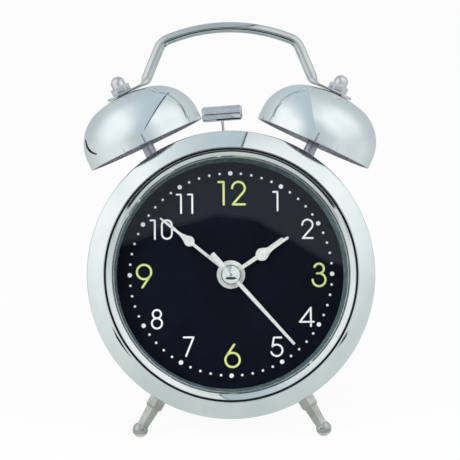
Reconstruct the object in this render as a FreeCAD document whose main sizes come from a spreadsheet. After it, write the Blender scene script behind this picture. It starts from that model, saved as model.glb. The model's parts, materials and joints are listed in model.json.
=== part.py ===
"""Twin-bell analog alarm clock, leaning back on two feet and a moulded heel.

Millimetres. The clock is built in its own frame: X to the right, Y from the front of the case to
the back, Z up the dial, with the dial's centre on the Y axis. A last step leans the whole clock
back until both feet and the heel touch the ground.
"""
import FreeCAD, Part
import math
import os
import re
import Sketcher
from FreeCAD import Placement, Rotation, Vector

X_AXIS = Vector(1, 0, 0)
Y_AXIS = Vector(0, 1, 0)
Z_AXIS = Vector(0, 0, 1)

doc = FreeCAD.newDocument("alarm_clock")
sheet = doc.addObject("Spreadsheet::Sheet", "sizes")

# Driving dimensions
SIZES = {
    # case: a drum of sheet metal with a crowned, sloping bead rolled round the front
    "case_radius": 56.0,
    "case_wall": 0.8,
    "case_rear": 48.4,
    "bead_proud": 1.0,
    "bead_width": 7.1,
    "bead_outer": "=case_radius + bead_proud",
    "bead_inner": "=bead_outer - bead_width",
    "bead_lip": 8.0,
    "bead_corner": 0.6,
    "bead_crown": 12.3,
    "bead_roll": 1.3,
    "bead_side": 4.8,
    "bead_shoulder": 0.304,
    "bead_shoulder_depth": 3.964,
    # bright ring that holds the glass
    "ring_gap": 0.1,
    "ring_front": 1.7,
    "ring_rim": 3.6,
    "ring_opening": "=bead_inner - ring_rim",
    "ring_opening_front": 4.4,
    "ring_sweep_width": 2.8,
    "ring_step_radius": "=bead_inner - ring_sweep_width",
    "ring_step": 0.3,
    "ring_wall": 0.9,
    "ring_flange_width": 4.3,
    "ring_flange_radius": "=bead_inner + ring_flange_width",
    "ring_flange": 0.8,
    "glass_front": 5.6,
    "glass_thickness": 1.6,
    "glass_gap": 0.1,
    # sloping wall between the glass and the dial
    "slope_front_step": 0.55,
    "slope_rear_step": 1.45,
    "slope_front_radius": "=ring_opening + slope_front_step",
    "slope_rear_radius": "=ring_opening - slope_rear_step",
    "slope_inset": 1.3,
    "slope_outer_radius": "=bead_inner - slope_inset",
    "dial_front": 16.0,
    "dial_inset": 0.5,
    "dial_radius": "=bead_inner - dial_inset",
    "dial_thickness": 0.5,
    "print_thickness": 0.08,
    # marks on the dial
    "dot_inset": 4.55,
    "dot_ring": "=slope_rear_radius - dot_inset",
    "hour_dot": 1.95,
    "minute_dot": 1.15,
    "large_numeral": 9.8,
    "small_numeral": 8.1,
    "large_stroke": 1.02,
    "small_stroke": 0.9,
    # carrier plate behind the dial, with posts for the back screws
    "carrier_gap": 0.2,
    "carrier_thickness": 1.5,
    "screw_inset": 6.0,
    "screw_circle": "=case_radius - screw_inset",
    "screw_post": 3.0,
    "screw_radius": 1.2,
    "screw_head": 2.6,
    "screw_head_height": 1.4,
    "screw_depth": 8.0,
    # back cover with its heel and battery tray
    "cover_thickness": 2.0,
    "cover_lip_wall": 1.8,
    "cover_lip_depth": 3.0,
    "cover_lip_gap": 0.15,
    "heel_proud": 1.6,
    "heel_drop": "=case_radius + heel_proud",
    "heel_depth": 3.0,
    "heel_half_width": 14.0,
    "cell_radius": 7.1,
    "cell_length": 49.0,
    "cell_nub_radius": 2.7,
    "cell_nub": 1.3,
    "cell_pitch": 15.2,
    "cell_rise": 34.4,
    "cell_top": "=cell_rise - case_radius",
    "cell_depth": 41.4,
    "tray_gap": 0.35,
    "tray_wall": 1.0,
    "tray_end_room": 1.6,
    "contact_thickness": 0.4,
    "contact_half": 5.0,
    "door_thickness": 1.3,
    "door_gap": 0.2,
    "door_rim": 1.3,
    # movement
    "housing_half_width": 25.0,
    "housing_top": 14.0,
    "housing_bottom": 30.0,
    "housing_wall": 1.2,
    "housing_rear": 31.5,
    "housing_cover": 1.2,
    "housing_post": 2.0,
    "housing_screw": 0.9,
    "bush_outer": 3.4,
    "bush_front": 15.4,
    "running_gap": 0.06,
    "tube_wall": 0.65,
    "seconds_arbor": 0.5,
    "arbor": 0.4,
    # depth of each hand's front face, and its thickness
    "hand_thickness": 0.3,
    "alarm_hand_front": 14.6,
    "hour_hand_front": 13.3,
    "minute_hand_front": 12.0,
    "second_hand_front": 10.7,
    # hands
    "cap_radius": 3.9,
    "cap_height": 1.7,
    "alarm_boss": 5.65,
    "alarm_length": 25.3,
    "alarm_width": 1.0,
    "alarm_angle": 55.2,
    "hour_boss": 3.7,
    "hour_length": 27.3,
    "hour_arm": 1.5,
    "hour_spade": 5.1,
    "hour_spade_start": 12.2,
    "hour_spade_end": 20.5,
    "hour_angle": 57.4,
    "minute_boss": 3.3,
    "minute_length": 36.1,
    "minute_arm": 1.25,
    "minute_spade": 4.1,
    "minute_spade_start": 19.2,
    "minute_spade_end": 29.2,
    "minute_angle": 309.0,
    "second_boss": 2.6,
    "second_length": 37.4,
    "second_width": 1.7,
    "second_tip": 1.1,
    "second_tail": 11.3,
    "second_tail_width": 2.0,
    "second_angle": 138.0,
    "hand_tip": 0.7,
    # bells
    "bell_depth": 25.0,
    "bell_side": 33.3,
    "bell_drop": 3.8,
    "bell_up": "=case_radius - bell_drop",
    "bell_tilt": 25.0,
    "bell_mouth": 24.4,
    "bell_height": 22.0,
    "bell_skirt": 4.0,
    "bell_crown": 44.0,
    "bell_wall": 0.9,
    "post_radius": 2.45,
    "stud_radius": 1.5,
    "stud_gap": 0.1,
    "nut_flats": 7.0,
    "nut_height": 2.8,
    "dome_radius": 2.85,
    "dome_top": 7.0,
    "inner_nut_flats": 5.5,
    "inner_nut_height": 2.4,
    "washer_radius": 3.6,
    # carrying handle
    "handle_rise": 46.9,
    "handle_top": "=bell_up + handle_rise",
    "handle_rod": 2.1,
    "handle_crown": 66.0,
    "handle_corner": 6.5,
    "handle_leg_lean": 22.5,
    "handle_bend": 6.0,
    "strip_thickness": 0.95,
    "strip_width": 9.0,
    "strip_inner": 9.6,
    "strip_outer": 6.6,
    # feet
    "foot_depth": 12.5,
    "foot_angle": 30.7,
    "foot_collar": 3.8,
    "foot_collar_length": 5.4,
    "foot_collar_end": "=case_radius + foot_collar_length",
    "foot_chamfer": 0.7,
    "foot_leg_top": 3.0,
    "foot_leg_bottom": 2.45,
    "foot_reach": 15.4,
    "foot_ball_centre": "=case_radius + foot_reach",
    "foot_ball": 3.07,
    "foot_flat": 0.25,
    # striker
    "hammer_pivot": 18.0,
    "hammer_rise": 8.6,
    "hammer_reach": "=case_radius + hammer_rise - hammer_pivot",
    "hammer_half_length": 8.1,
    "hammer_radius": 3.05,
    "hammer_chamfer": 0.8,
    "hammer_offset": 3.0884,
    "hammer_wire": 0.5,
    "lever_thickness": 1.6,
    "lever_top": 26.0,
    "lever_width": 3.4,
    "fork_height": 16.0,
    "fork_gap_side": 3.5,
    "fork_gap_up": 2.3,
    "fork_wall": 1.3,
    "pivot_radius": 1.0,
    "lever_boss": 2.4,
    "slot_half_width": 5.0,
    "slot_half_depth": 2.5,
    "crank_throw": 1.2,
    "crank_pin": 0.6,
    "crank_module": 0.4,
    "bracket_front": 28.8,
    "bracket_thickness": 1.0,
    "bracket_half_width": 12.0,
    "bracket_top": 46.0,
    "bracket_flange": 9.0,
    "motor_radius": 6.0,
    "motor_length": 14.0,
    "motor_shaft": 0.75,
    # knobs and switch on the back
    "set_shaft": 1.0,
    "knob_radius": 6.5,
    "knob_height": 7.5,
    "knob_stand_off": 0.5,
    "switch_up": 31.0,
    "switch_travel": 4.0,
    "switch_button_length": 5.0,
    "switch_button_width": 3.4,
    "switch_gap": 0.3,
    "switch_body_depth": 4.0,
}


def fill_sheet():
    """One row for each size, with the size's name as its alias. A text is a formula of the rows above."""
    for row, (name, value) in enumerate(SIZES.items(), 1):
        sheet.set(f"A{row}", name)
        sheet.set(f"B{row}", str(value))
        sheet.setAlias(f"B{row}", name)
    doc.recompute()


fill_sheet()
NAMES = re.compile(r"\b(" + "|".join(SIZES) + r")\b")


def bound(text):
    """An expression in the sheet's names, as other objects refer to them."""
    return NAMES.sub(r"sizes.\1", str(text))


def num(text):
    """The present value of an expression in the sheet's names."""
    return float(sheet.evalExpression(str(text)))


# Placing
def turned(axis, angle, at=Vector()):
    return Placement(at, Rotation(axis, angle))


def along_y(side, depth, up):
    """Local Z points to the back of the clock, from the given place."""
    return Placement(Vector(side, depth, up), Rotation(X_AXIS, -90))


def facing(rear):
    """Local X and Y lie across the dial, and local Z points to the front from the rear plane."""
    return Placement(Vector(0, rear, 0), Rotation(X_AXIS, 90))


# Nodes, and the features they are made of
nodes = {}


def keep(obj, label):
    """Name a finished sub-part and list it for export."""
    obj.Label = label
    nodes[label] = obj
    return obj


def bind(obj, **sizes):
    for prop, text in sizes.items():
        obj.setExpression(prop, bound(text))
    return obj


def box(name, low, high):
    """A box between two corners, each given as three expressions."""
    obj = doc.addObject("Part::Box", name)
    for prop, a, b in zip(("Length", "Width", "Height"), low, high):
        obj.setExpression(prop, bound(f"({b}) - ({a})"))
    obj.Placement.Base = Vector(*[num(a) for a in low])
    return obj


def cylinder(name, radius, height, place=Placement()):
    obj = doc.addObject("Part::Cylinder", name)
    bind(obj, Radius=radius, Height=height)
    obj.Placement = place
    return obj


def hexagon(name, circumradius, height, place=Placement()):
    obj = doc.addObject("Part::Prism", name)
    obj.Polygon = 6
    bind(obj, Circumradius=circumradius, Height=height)
    obj.Placement = place
    return obj


def cut(name, base, tools):
    """The base with each tool taken away."""
    if len(tools) > 1:
        tool = doc.addObject("Part::MultiFuse", name + "_holes")
        tool.Shapes = tools
    else:
        tool = tools[0]
    obj = doc.addObject("Part::Cut", name)
    obj.Base = base
    obj.Tool = tool
    return obj


def fuse(name, shapes):
    obj = doc.addObject("Part::MultiFuse", name)
    obj.Shapes = shapes
    return obj


def common(name, shapes):
    obj = doc.addObject("Part::MultiCommon", name)
    obj.Shapes = shapes
    return obj


def group(name, shapes):
    """Separate solids that share one node."""
    obj = doc.addObject("Part::Compound", name)
    obj.Links = shapes
    return obj


def plain(name, shape, place=Placement()):
    """A shape worked out in code from the sheet's sizes."""
    obj = doc.addObject("Part::Feature", name)
    obj.Shape = shape
    obj.Placement = place
    return obj


# Sketches
def arc_between(a, b, radius):
    """The shorter arc from a to b: anticlockwise for a positive radius, clockwise for a negative."""
    chord = b - a
    half = chord.Length / 2
    side = Vector(-chord.y, chord.x, 0).normalize()
    rise = math.sqrt(max(radius * radius - half * half, 0.0))
    centre = (a + b) / 2 + side * math.copysign(rise, radius)
    first, last = (a, b) if radius > 0 else (b, a)
    start = math.atan2(first.y - centre.y, first.x - centre.x)
    end = math.atan2(last.y - centre.y, last.x - centre.x)
    circle = Part.Circle(centre, Z_AXIS, abs(radius))
    return Part.ArcOfCircle(circle, start, end)


def pin_point(sketch, geometry, end, u, v):
    """Hold one point of a sketch at (u, v), both expressions."""
    for kind, axis, text in (("DistanceX", -2, u), ("DistanceY", -1, v)):
        value = num(text)
        if str(text) == "0":
            sketch.addConstraint(Sketcher.Constraint("PointOnObject", geometry, end, axis))
        else:
            index = sketch.addConstraint(Sketcher.Constraint(kind, -1, 1, geometry, end, value))
            sketch.setExpression(f"Constraints[{index}]", bound(text))


def draw(sketch, points):
    """A closed outline. A point is (u, v), or (u, v, r) where an arc of radius r leads to it."""
    places = [Vector(num(p[0]), num(p[1]), 0) for p in points]
    first = sketch.GeometryCount
    ends = []
    for i, point in enumerate(points):
        a, b = places[i - 1], places[i]
        if len(point) == 3:
            radius = num(point[2])
            index = sketch.addGeometry(arc_between(a, b, radius))
            ends.append((index, 1, 2) if radius > 0 else (index, 2, 1))
        else:
            index = sketch.addGeometry(Part.LineSegment(a, b))
            ends.append((index, 1, 2))
    for i, point in enumerate(points):
        here, after = ends[i], ends[(i + 1) % len(points)]
        sketch.addConstraint(
            Sketcher.Constraint("Coincident", here[0], here[2], after[0], after[1])
        )
        pin_point(sketch, here[0], here[2], point[0], point[1])
        if len(point) == 3:
            value = abs(num(point[2]))
            index = sketch.addConstraint(Sketcher.Constraint("Radius", first + i, value))
            sketch.setExpression(f"Constraints[{index}]", bound(f"abs({point[2]})"))


def draw_circle(sketch, radius):
    """A circle round the sketch's origin."""
    index = sketch.addGeometry(Part.Circle(Vector(), Z_AXIS, num(radius)))
    pin_point(sketch, index, 3, "0", "0")
    size = sketch.addConstraint(Sketcher.Constraint("Radius", index, num(radius)))
    sketch.setExpression(f"Constraints[{size}]", bound(radius))


def body_with_sketch(name, plane):
    """A body, and a sketch on one of its own origin planes."""
    body = doc.addObject("PartDesign::Body", name)
    sketch = body.newObject("Sketcher::SketchObject", name + "_sketch")
    support = [f for f in body.Origin.OriginFeatures if f.Role == plane][0]
    sketch.AttachmentSupport = [(support, "")]
    sketch.MapMode = "FlatFace"
    return body, sketch


def revolved(name, plane, points, place=Placement()):
    """A profile turned about the sketch's upright axis: XY_Plane turns about Y, XZ_Plane about Z."""
    body, sketch = body_with_sketch(name, plane)
    draw(sketch, points)
    turn = body.newObject("PartDesign::Revolution", name + "_turn")
    turn.Profile = sketch
    turn.ReferenceAxis = (sketch, ["V_Axis"])
    turn.Angle = 360
    body.Placement = place
    return body


def padded(name, length, place, disc, hole=None):
    """A disc, with a round hole in its middle where one is given, raised by the length."""
    body, sketch = body_with_sketch(name, "XY_Plane")
    for radius in (disc, hole):
        if radius:
            draw_circle(sketch, radius)
    pad = body.newObject("PartDesign::Pad", name + "_pad")
    pad.Profile = sketch
    bind(pad, Length=length)
    body.Placement = place
    return body


# Gears
TOOTH_TIP = 0.26
TOOTH_PITCH = 0.42
TOOTH_ROOT = 0.52
ADDENDUM = 0.80
DEDENDUM = 1.10


def gear(teeth, module, phase, front, rear, at):
    """A spur gear between two depths. A tooth stands at the phase, in degrees from +X to +Z."""
    pitch = teeth * module / 2
    step = 2 * math.pi / teeth
    root, tip = pitch - DEDENDUM * module, pitch + ADDENDUM * module
    points = []
    for i in range(teeth):
        middle = math.radians(phase) + i * step
        for radius, share in (
            (root, -TOOTH_ROOT), (pitch, -TOOTH_PITCH), (tip, -TOOTH_TIP),
            (tip, TOOTH_TIP), (pitch, TOOTH_PITCH), (root, TOOTH_ROOT),
        ):
            angle = middle + share * step / 2
            points.append(Vector(radius * math.cos(angle), 0, radius * math.sin(angle)))
    wire = Part.makePolygon(points + points[:1])
    shape = Part.Face(wire).extrude(Vector(0, rear - front, 0))
    shape.translate(Vector(at[0], front, at[1]))
    return shape


def rod(radius, front, rear, at=(0, 0)):
    return Part.makeCylinder(radius, rear - front, Vector(at[0], front, at[1]), Y_AXIS)


def joined(*shapes):
    """One solid from shapes that touch or overlap."""
    return shapes[0].multiFuse(list(shapes[1:])).removeSplitter()


def beside(at, distance, angle):
    """A place at a distance from another, at an angle from +X to +Z."""
    return (
        at[0] + distance * math.cos(math.radians(angle)),
        at[1] + distance * math.sin(math.radians(angle)),
    )


def bearing(a, b):
    return math.degrees(math.atan2(b[1] - a[1], b[0] - a[0]))


def meshing(phase, teeth, other_teeth, angle):
    """The phase that sets the other gear's gap on this gear's tooth, at an angle from this gear."""
    lead = (phase - angle) % (360 / teeth)
    return angle + 180 - lead * teeth / other_teeth + 180 / other_teeth


# How the clock stands
FOOT_DROP = num("foot_ball_centre") * math.cos(math.radians(num("foot_angle")))


def lean_angle():
    """The lean that sets the feet and the heel on one plane, in degrees."""
    depth = num("case_rear - foot_depth")
    drop = FOOT_DROP - num("heel_drop")
    reach = math.hypot(depth, drop)
    return math.degrees(math.asin(num("foot_ball - foot_flat") / reach) + math.atan2(drop, depth))


LEAN = lean_angle()
GROUND = turned(X_AXIS, LEAN, Vector(0, num("case_rear"), -num("heel_drop")))


def ground_block(name):
    """What lies below the plane that the clock stands on."""
    obj = doc.addObject("Part::Box", name)
    bind(obj, Length="case_radius * 3", Width="case_radius * 3", Height="heel_drop")
    size = num("case_radius") * 1.5
    obj.Placement = GROUND * Placement(Vector(-size, -size, -num("heel_drop")), Rotation())
    return obj


# Places that several pieces share
SIDES = {"left": -1, "right": 1}
GLASS_REAR = "glass_front + glass_thickness"
DIAL_REAR = "dial_front + dial_thickness"
CARRIER_REAR = f"({DIAL_REAR} + carrier_thickness)"
COVER_REAR = "(case_rear + cover_thickness)"
CASE_INSIDE = "(case_radius - case_wall)"
HOUSING_INSIDE = f"({CARRIER_REAR} + housing_wall)"
HOUSING_BACK = "(housing_rear + housing_cover)"
POST_ANGLES = (45, 135, 225, 315)
LONG_SCREW_FRONT = num(DIAL_REAR) + 0.3


def bell_place(side):
    """Local Z runs up a bell's axis from the middle of its mouth."""
    at = Vector(side * num("bell_side"), num("bell_depth"), num("bell_up"))
    return turned(Y_AXIS, side * num("bell_tilt"), at)


def foot_place(side):
    """Local Z runs out from the dial's centre along a foot."""
    return turned(Y_AXIS, 180 - side * num("foot_angle"), Vector(0, num("foot_depth"), 0))


def raised(place, height):
    return place * Placement(Vector(0, 0, height), Rotation())


def drum_depth(radius):
    """How far below a bell's mouth its axis meets the drum of the given radius."""
    tilt = math.radians(num("bell_tilt"))
    along = num("bell_side") * math.sin(tilt) + num("bell_up") * math.cos(tilt)
    away = math.hypot(num("bell_side"), num("bell_up"))
    return along - math.sqrt(along ** 2 - away ** 2 + radius ** 2)


DRUM_IN = drum_depth(num(CASE_INSIDE))
WASHER_LEFT = 1.1
WASHER_LOW = DRUM_IN + WASHER_LEFT
STUD_PAST_NUT = 0.6


def post_screw_places():
    for angle in POST_ANGLES:
        yield beside((0, 0), num("screw_circle"), angle)


# Case
def make_case_drum():
    """Sheet metal drum with a sloping bead, drilled for the bells, the feet and the hammer."""
    outer_meet = "bead_side + sqrt(bead_roll ^ 2 - (bead_roll - bead_proud) ^ 2)"
    shell = revolved("drum_shell", "XY_Plane", [
        (CASE_INSIDE, "case_rear"),
        ("case_radius", "case_rear"),
        ("case_radius", outer_meet),
        ("bead_outer - bead_shoulder", "bead_shoulder_depth", "-bead_roll"),
        ("bead_inner + bead_corner", "0", "-bead_crown"),
        ("bead_inner", "bead_corner", "-bead_corner"),
        ("bead_inner", "bead_lip"),
        ("bead_inner + case_wall", "bead_lip"),
        ("bead_inner + case_wall", "bead_corner + case_wall / 2"),
        ("bead_outer - bead_shoulder - case_wall * 0.77",
         "bead_shoulder_depth + case_wall * 0.64", "bead_crown - case_wall"),
        (CASE_INSIDE, f"{outer_meet} - case_wall / 4"),
    ])
    holes = []
    for word, side in SIDES.items():
        depth = DRUM_IN + num("case_wall") * 2
        hole = cylinder(f"drum_stud_hole_{word}", "stud_radius + stud_gap", "case_wall * 5",
                        raised(bell_place(side), -depth))
        foot = cylinder(f"drum_foot_hole_{word}", "stud_radius + stud_gap", "case_wall * 5",
                        raised(foot_place(side), num(CASE_INSIDE) - num("case_wall")))
        holes += [hole, foot]
    slot = box("hammer_slot",
               ("-slot_half_width", "bell_depth - slot_half_depth", f"{CASE_INSIDE} - case_wall"),
               ("slot_half_width", "bell_depth + slot_half_depth", "case_radius + case_wall"))
    keep(cut("case_drum_cut", shell, holes + [slot]), "case_drum")


def make_lens_ring():
    outer = "(bead_inner - ring_gap)"
    inner = f"({outer} - ring_wall)"
    round_off, dip, sweep = "0.6", "1.2", "6"
    keep(revolved("lens_ring_body", "XY_Plane", [
        (outer, f"ring_front + {round_off}"),
        (f"{outer} - {round_off}", "ring_front", f"-{round_off}"),
        ("ring_step_radius", f"ring_front + {dip}", f"-{sweep}"),
        ("ring_step_radius", f"ring_front + {dip} + ring_step"),
        ("ring_opening", "ring_opening_front"),
        ("ring_opening", "glass_front"),
        (inner, "glass_front"),
        (inner, "bead_lip + ring_flange"),
        ("ring_flange_radius", "bead_lip + ring_flange"),
        ("ring_flange_radius", "bead_lip"),
        (outer, "bead_lip"),
    ]), "lens_ring")


def make_front():
    """Glass, sloping wall, dial and the carrier plate behind it."""
    make_lens_ring()
    keep(padded("glass", "glass_thickness", facing(num(GLASS_REAR)),
                "bead_inner - ring_gap - ring_wall - glass_gap"), "lens")
    keep(revolved("slope_body", "XY_Plane", [
        ("slope_front_radius", GLASS_REAR),
        ("slope_rear_radius", "dial_front"),
        ("slope_outer_radius", "dial_front"),
        ("slope_outer_radius", GLASS_REAR),
    ]), "dial_surround")
    keep(padded("dial_disc", "dial_thickness", facing(num(DIAL_REAR)), "dial_radius",
                "bush_outer + stud_gap"), "dial_plate")
    plate = padded("carrier_disc", "carrier_thickness", facing(num(CARRIER_REAR)),
                   f"{CASE_INSIDE} - carrier_gap")
    posts, holes = [], []
    for i, (x, z) in enumerate(post_screw_places()):
        posts.append(cylinder(f"carrier_post_{i}", "screw_post",
                              f"case_rear - ({DIAL_REAR})", along_y(x, num(DIAL_REAR), z)))
        holes.append(cylinder(f"carrier_post_hole_{i}", "screw_radius", "screw_depth",
                              along_y(x, num("case_rear - screw_depth"), z)))
    holes.append(cylinder("carrier_centre", "bush_outer + stud_gap", "carrier_thickness * 3",
                          along_y(0, num(DIAL_REAR) - num("carrier_thickness"), 0)))
    for i, (x, z) in enumerate(housing_screws()):
        holes.append(cylinder(f"carrier_screw_{i}", "housing_screw", "carrier_thickness",
                              along_y(x, LONG_SCREW_FRONT, z)))
    keep(cut("carrier_cut", fuse("carrier_whole", [plate] + posts), holes), "dial_carrier")


# Printed marks
def stroke_line(width, a, b):
    """A straight stroke with round ends, lying in local X and Y."""
    run = Vector(b[0] - a[0], b[1] - a[1], 0)
    bar = Part.makeBox(run.Length, width, PRINT, Vector(0, -width / 2, 0))
    bar.Placement = turned(Z_AXIS, math.degrees(math.atan2(run.y, run.x)), Vector(a[0], a[1], 0))
    ends = [Part.makeCylinder(width / 2, PRINT, Vector(p[0], p[1], 0)) for p in (a, b)]
    return bar.multiFuse(ends)


def stroke_arc(width, centre, radius, start, sweep):
    """A round stroke with round ends. Angles are in degrees, anticlockwise."""
    at = Vector(centre[0], centre[1], 0)
    outer = Part.makeCylinder(radius + width / 2, PRINT, at, Z_AXIS, sweep)
    inner = Part.makeCylinder(radius - width / 2, PRINT, at, Z_AXIS, 360)
    ring = outer.cut(inner)
    ring.rotate(at, Z_AXIS, start)
    if sweep == 360:
        return ring
    ends = [beside(centre, radius, angle) for angle in (start, start + sweep)]
    return ring.multiFuse([Part.makeCylinder(width / 2, PRINT, Vector(p[0], p[1], 0)) for p in ends])


PRINT = num("print_thickness")
ROUND_SIX = 0.318
STEM_SIX = (0.395, 1.0)


def six_tangent():
    """Where the six's straight stem runs into its bowl."""
    rise = (STEM_SIX[0] - ROUND_SIX, STEM_SIX[1] - ROUND_SIX)
    angle = math.degrees(math.atan2(rise[1], rise[0]))
    angle += math.degrees(math.acos(ROUND_SIX / math.hypot(*rise)))
    return beside((ROUND_SIX, ROUND_SIX), ROUND_SIX, angle)


# Each digit's width and strokes, in units of its height: lines as (a, b), arcs as
# (centre, radius, start, sweep)
DIGITS = {
    "0": (0.54, [((0, 0.27), (0, 0.73)), ((0.54, 0.27), (0.54, 0.73)),
                 ((0.27, 0.73), 0.27, 0, 180), ((0.27, 0.27), 0.27, 180, 180)]),
    "1": (0.23, [((0, 1), (0.23, 1)), ((0.23, 1), (0.23, 0))]),
    "2": (0.56, [((0.28, 0.72), 0.28, -40, 220), ((0.4945, 0.54), (0.02, 0)),
                 ((0.02, 0), (0.56, 0))]),
    "3": (0.56, [((0.28, 0.785), 0.215, -90, 250), ((0.19, 0.571), (0.28, 0.571)),
                 ((0.28, 0.286), 0.286, 180, 270)]),
    "4": (0.76, [((0.60, 0), (0.60, 1)), ((0.60, 1), (0, 0.235)), ((0, 0.235), (0.76, 0.235))]),
    "5": (0.60, [((0.14, 1), (0.54, 1)), ((0.14, 1), (0.06, 0.53)),
                 ((0.29, 0.31), 0.31, 198, 300)]),
    "6": (0.636, [((ROUND_SIX, ROUND_SIX), ROUND_SIX, 0, 360), (STEM_SIX, six_tangent())]),
    "7": (0.53, [((0, 1), (0.53, 1)), ((0.53, 1), (0.12, 0))]),
    "8": (0.55, [((0.275, 0.275), 0.275, 0, 360), ((0.275, 0.775), 0.225, 0, 360)]),
}
# Middle of each number on the dial, to the right and up, where the ring of dots has this radius
NUMBER_RING = 40.3
NUMBER_PLACES = {
    12: (0.5, 32.4), 1: (17.9, 29.1), 2: (30.6, 18.0), 3: (35.1, -0.4), 4: (30.1, -17.1),
    5: (18.1, -28.9), 6: (0.4, -32.4), 7: (-17.0, -28.6), 8: (-29.6, -17.6), 9: (-34.6, -0.4),
    10: (-27.65, 18.1), 11: (-18.3, 28.3),
}
DIGIT_SPACE = 0.38


def digit_shape(digit, height, width):
    """One digit, its lower left corner at the origin."""
    if digit == "9":
        shape = digit_shape("6", height, width)
        shape.rotate(Vector(ROUND_SIX * height, height / 2, 0), Z_AXIS, 180)
        return shape
    strokes = []
    for stroke in DIGITS[digit][1]:
        if len(stroke) == 2:
            a, b = [(p[0] * height, p[1] * height) for p in stroke]
            strokes.append(stroke_line(width, a, b))
        else:
            (x, y), radius, start, sweep = stroke
            strokes.append(
                stroke_arc(width, (x * height, y * height), radius * height, start, sweep)
            )
    return strokes[0].multiFuse(strokes[1:]).removeSplitter()


def number_shape(number, height, width):
    """A number of one or two digits, its middle at the origin."""
    shapes, across = [], 0.0
    for digit in str(number):
        shape = digit_shape(digit, height, width)
        shape.translate(Vector(across, 0, 0))
        shapes.append(shape)
        across += (DIGITS["6" if digit == "9" else digit][0] + DIGIT_SPACE) * height
    whole = Part.makeCompound(shapes)
    whole.translate(Vector(-(across - DIGIT_SPACE * height) / 2, -height / 2, 0))
    return whole


def make_print():
    """Numbers and dots, a raised film on the dial's face."""
    large, small = [], []
    for number, (x, z) in NUMBER_PLACES.items():
        quarter = number % 3 == 0
        size = "large" if quarter else "small"
        width = num(f"{size}_stroke")
        shape = number_shape(number, num(f"{size}_numeral") - width, width)
        shape.translate(Vector(x, z, 0) * (num("dot_ring") / NUMBER_RING))
        (large if quarter else small).append(shape)
    face = facing(num("dial_front"))
    keep(plain("large_numerals", Part.makeCompound(large), face), "numerals_green")
    keep(plain("small_numerals", Part.makeCompound(small), face), "numerals_white")
    dots = []
    for minute in range(60):
        x, z = beside((0, 0), num("dot_ring"), 90 - minute * 6)
        size = "hour_dot" if minute % 5 == 0 else "minute_dot"
        dots.append(cylinder(f"dot_{minute}", f"{size} / 2", "print_thickness",
                             face * Placement(Vector(x, z, 0), Rotation())))
    keep(group("dots", dots), "minute_dots")


# Hands
def tube_radii():
    """Inner and outer radii of the minute, hour and alarm tubes, from the seconds arbor out."""
    gap, wall = num("running_gap"), num("tube_wall")
    radii, inner = [], num("seconds_arbor") + gap
    for _ in range(3):
        radii.append((inner, inner + wall))
        inner += wall + gap
    return radii


MINUTE_TUBE, HOUR_TUBE, ALARM_TUBE = tube_radii()


def hand_blank(name, half_outline, boss, bore, angle, front):
    """A stamped hand: the right half of its outline, pointing up, is mirrored and turned."""
    thickness = num("hand_thickness")
    edges, last = [], None
    for point in half_outline:
        here = Vector(point[0], point[1], 0)
        if len(point) == 3:
            edges.append(arc_between(last, here, point[2]).toShape())
        elif last is not None:
            edges.append(Part.LineSegment(last, here).toShape())
        last = here
    right = Part.Wire(edges)
    left = right.mirror(Vector(), X_AXIS)
    low = [Vector(s * half_outline[0][0], half_outline[0][1], 0) for s in (-1, 1)]
    closing = [Part.LineSegment(*low).toShape()]
    if half_outline[-1][0] > 0:
        high = [Vector(s * half_outline[-1][0], half_outline[-1][1], 0) for s in (-1, 1)]
        closing.append(Part.LineSegment(*high).toShape())
    outline = Part.Wire(Part.__sortEdges__(right.Edges + left.Edges + closing))
    blade = Part.Face(outline).extrude(Vector(0, 0, thickness))
    disc = Part.makeCylinder(boss, thickness)
    whole = blade.fuse(disc).removeSplitter().cut(Part.makeCylinder(bore, thickness))
    whole.rotate(Vector(), Z_AXIS, -angle)
    keep(plain(name + "_blank", whole, facing(front + thickness)), name)


def spade(arm, width, start, end, length, tip):
    """Half outline of a hand whose arm swells into a spade and runs out to a thin tip."""
    half = width / 2
    back = start + half * 0.95
    return [
        (arm / 2, 0),
        (arm / 2, start),
        (half, back, half * 1.1),
        (half * 0.86, back + half * 0.55, half * 0.9),
        (arm / 2 * 1.05, end, -(end - back) * 1.35),
        (tip / 2, length - tip / 2),
        (0, length, tip / 2),
    ]


def make_hands():
    tip = num("hand_tip")
    hand_blank("alarm_hand", [
        (num("alarm_width") / 2, 0),
        (num("alarm_width") / 2, num("alarm_length") - tip),
        (tip / 4, num("alarm_length")),
    ], num("alarm_boss"), ALARM_TUBE[1], num("alarm_angle"), num("alarm_hand_front"))
    hand_blank("hour_hand", spade(
        num("hour_arm"), num("hour_spade"), num("hour_spade_start"), num("hour_spade_end"),
        num("hour_length"), tip * 1.5,
    ), num("hour_boss"), HOUR_TUBE[1], num("hour_angle"), num("hour_hand_front"))
    hand_blank("minute_hand", spade(
        num("minute_arm"), num("minute_spade"), num("minute_spade_start"),
        num("minute_spade_end"), num("minute_length"), tip,
    ), num("minute_boss"), MINUTE_TUBE[1], num("minute_angle"), num("minute_hand_front"))
    hand_blank("second_hand", [
        (num("second_tail_width") / 2, -num("second_tail")),
        (num("second_tail_width") / 2, 0),
        (num("second_width") / 2, num("second_boss")),
        (num("second_tip") / 2, num("second_length")),
    ], num("second_boss"), num("seconds_arbor"), num("second_angle"), num("second_hand_front"))
    keep(revolved("cap_body", "XY_Plane", [
        ("0", "second_hand_front"),
        ("0", "second_hand_front - cap_height"),
        ("cap_radius", "second_hand_front - cap_height * 0.3",
         "(cap_radius ^ 2 + (cap_height * 0.7) ^ 2) / (cap_height * 1.4)"),
        ("cap_radius", "second_hand_front"),
    ]), "centre_cap")


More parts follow.
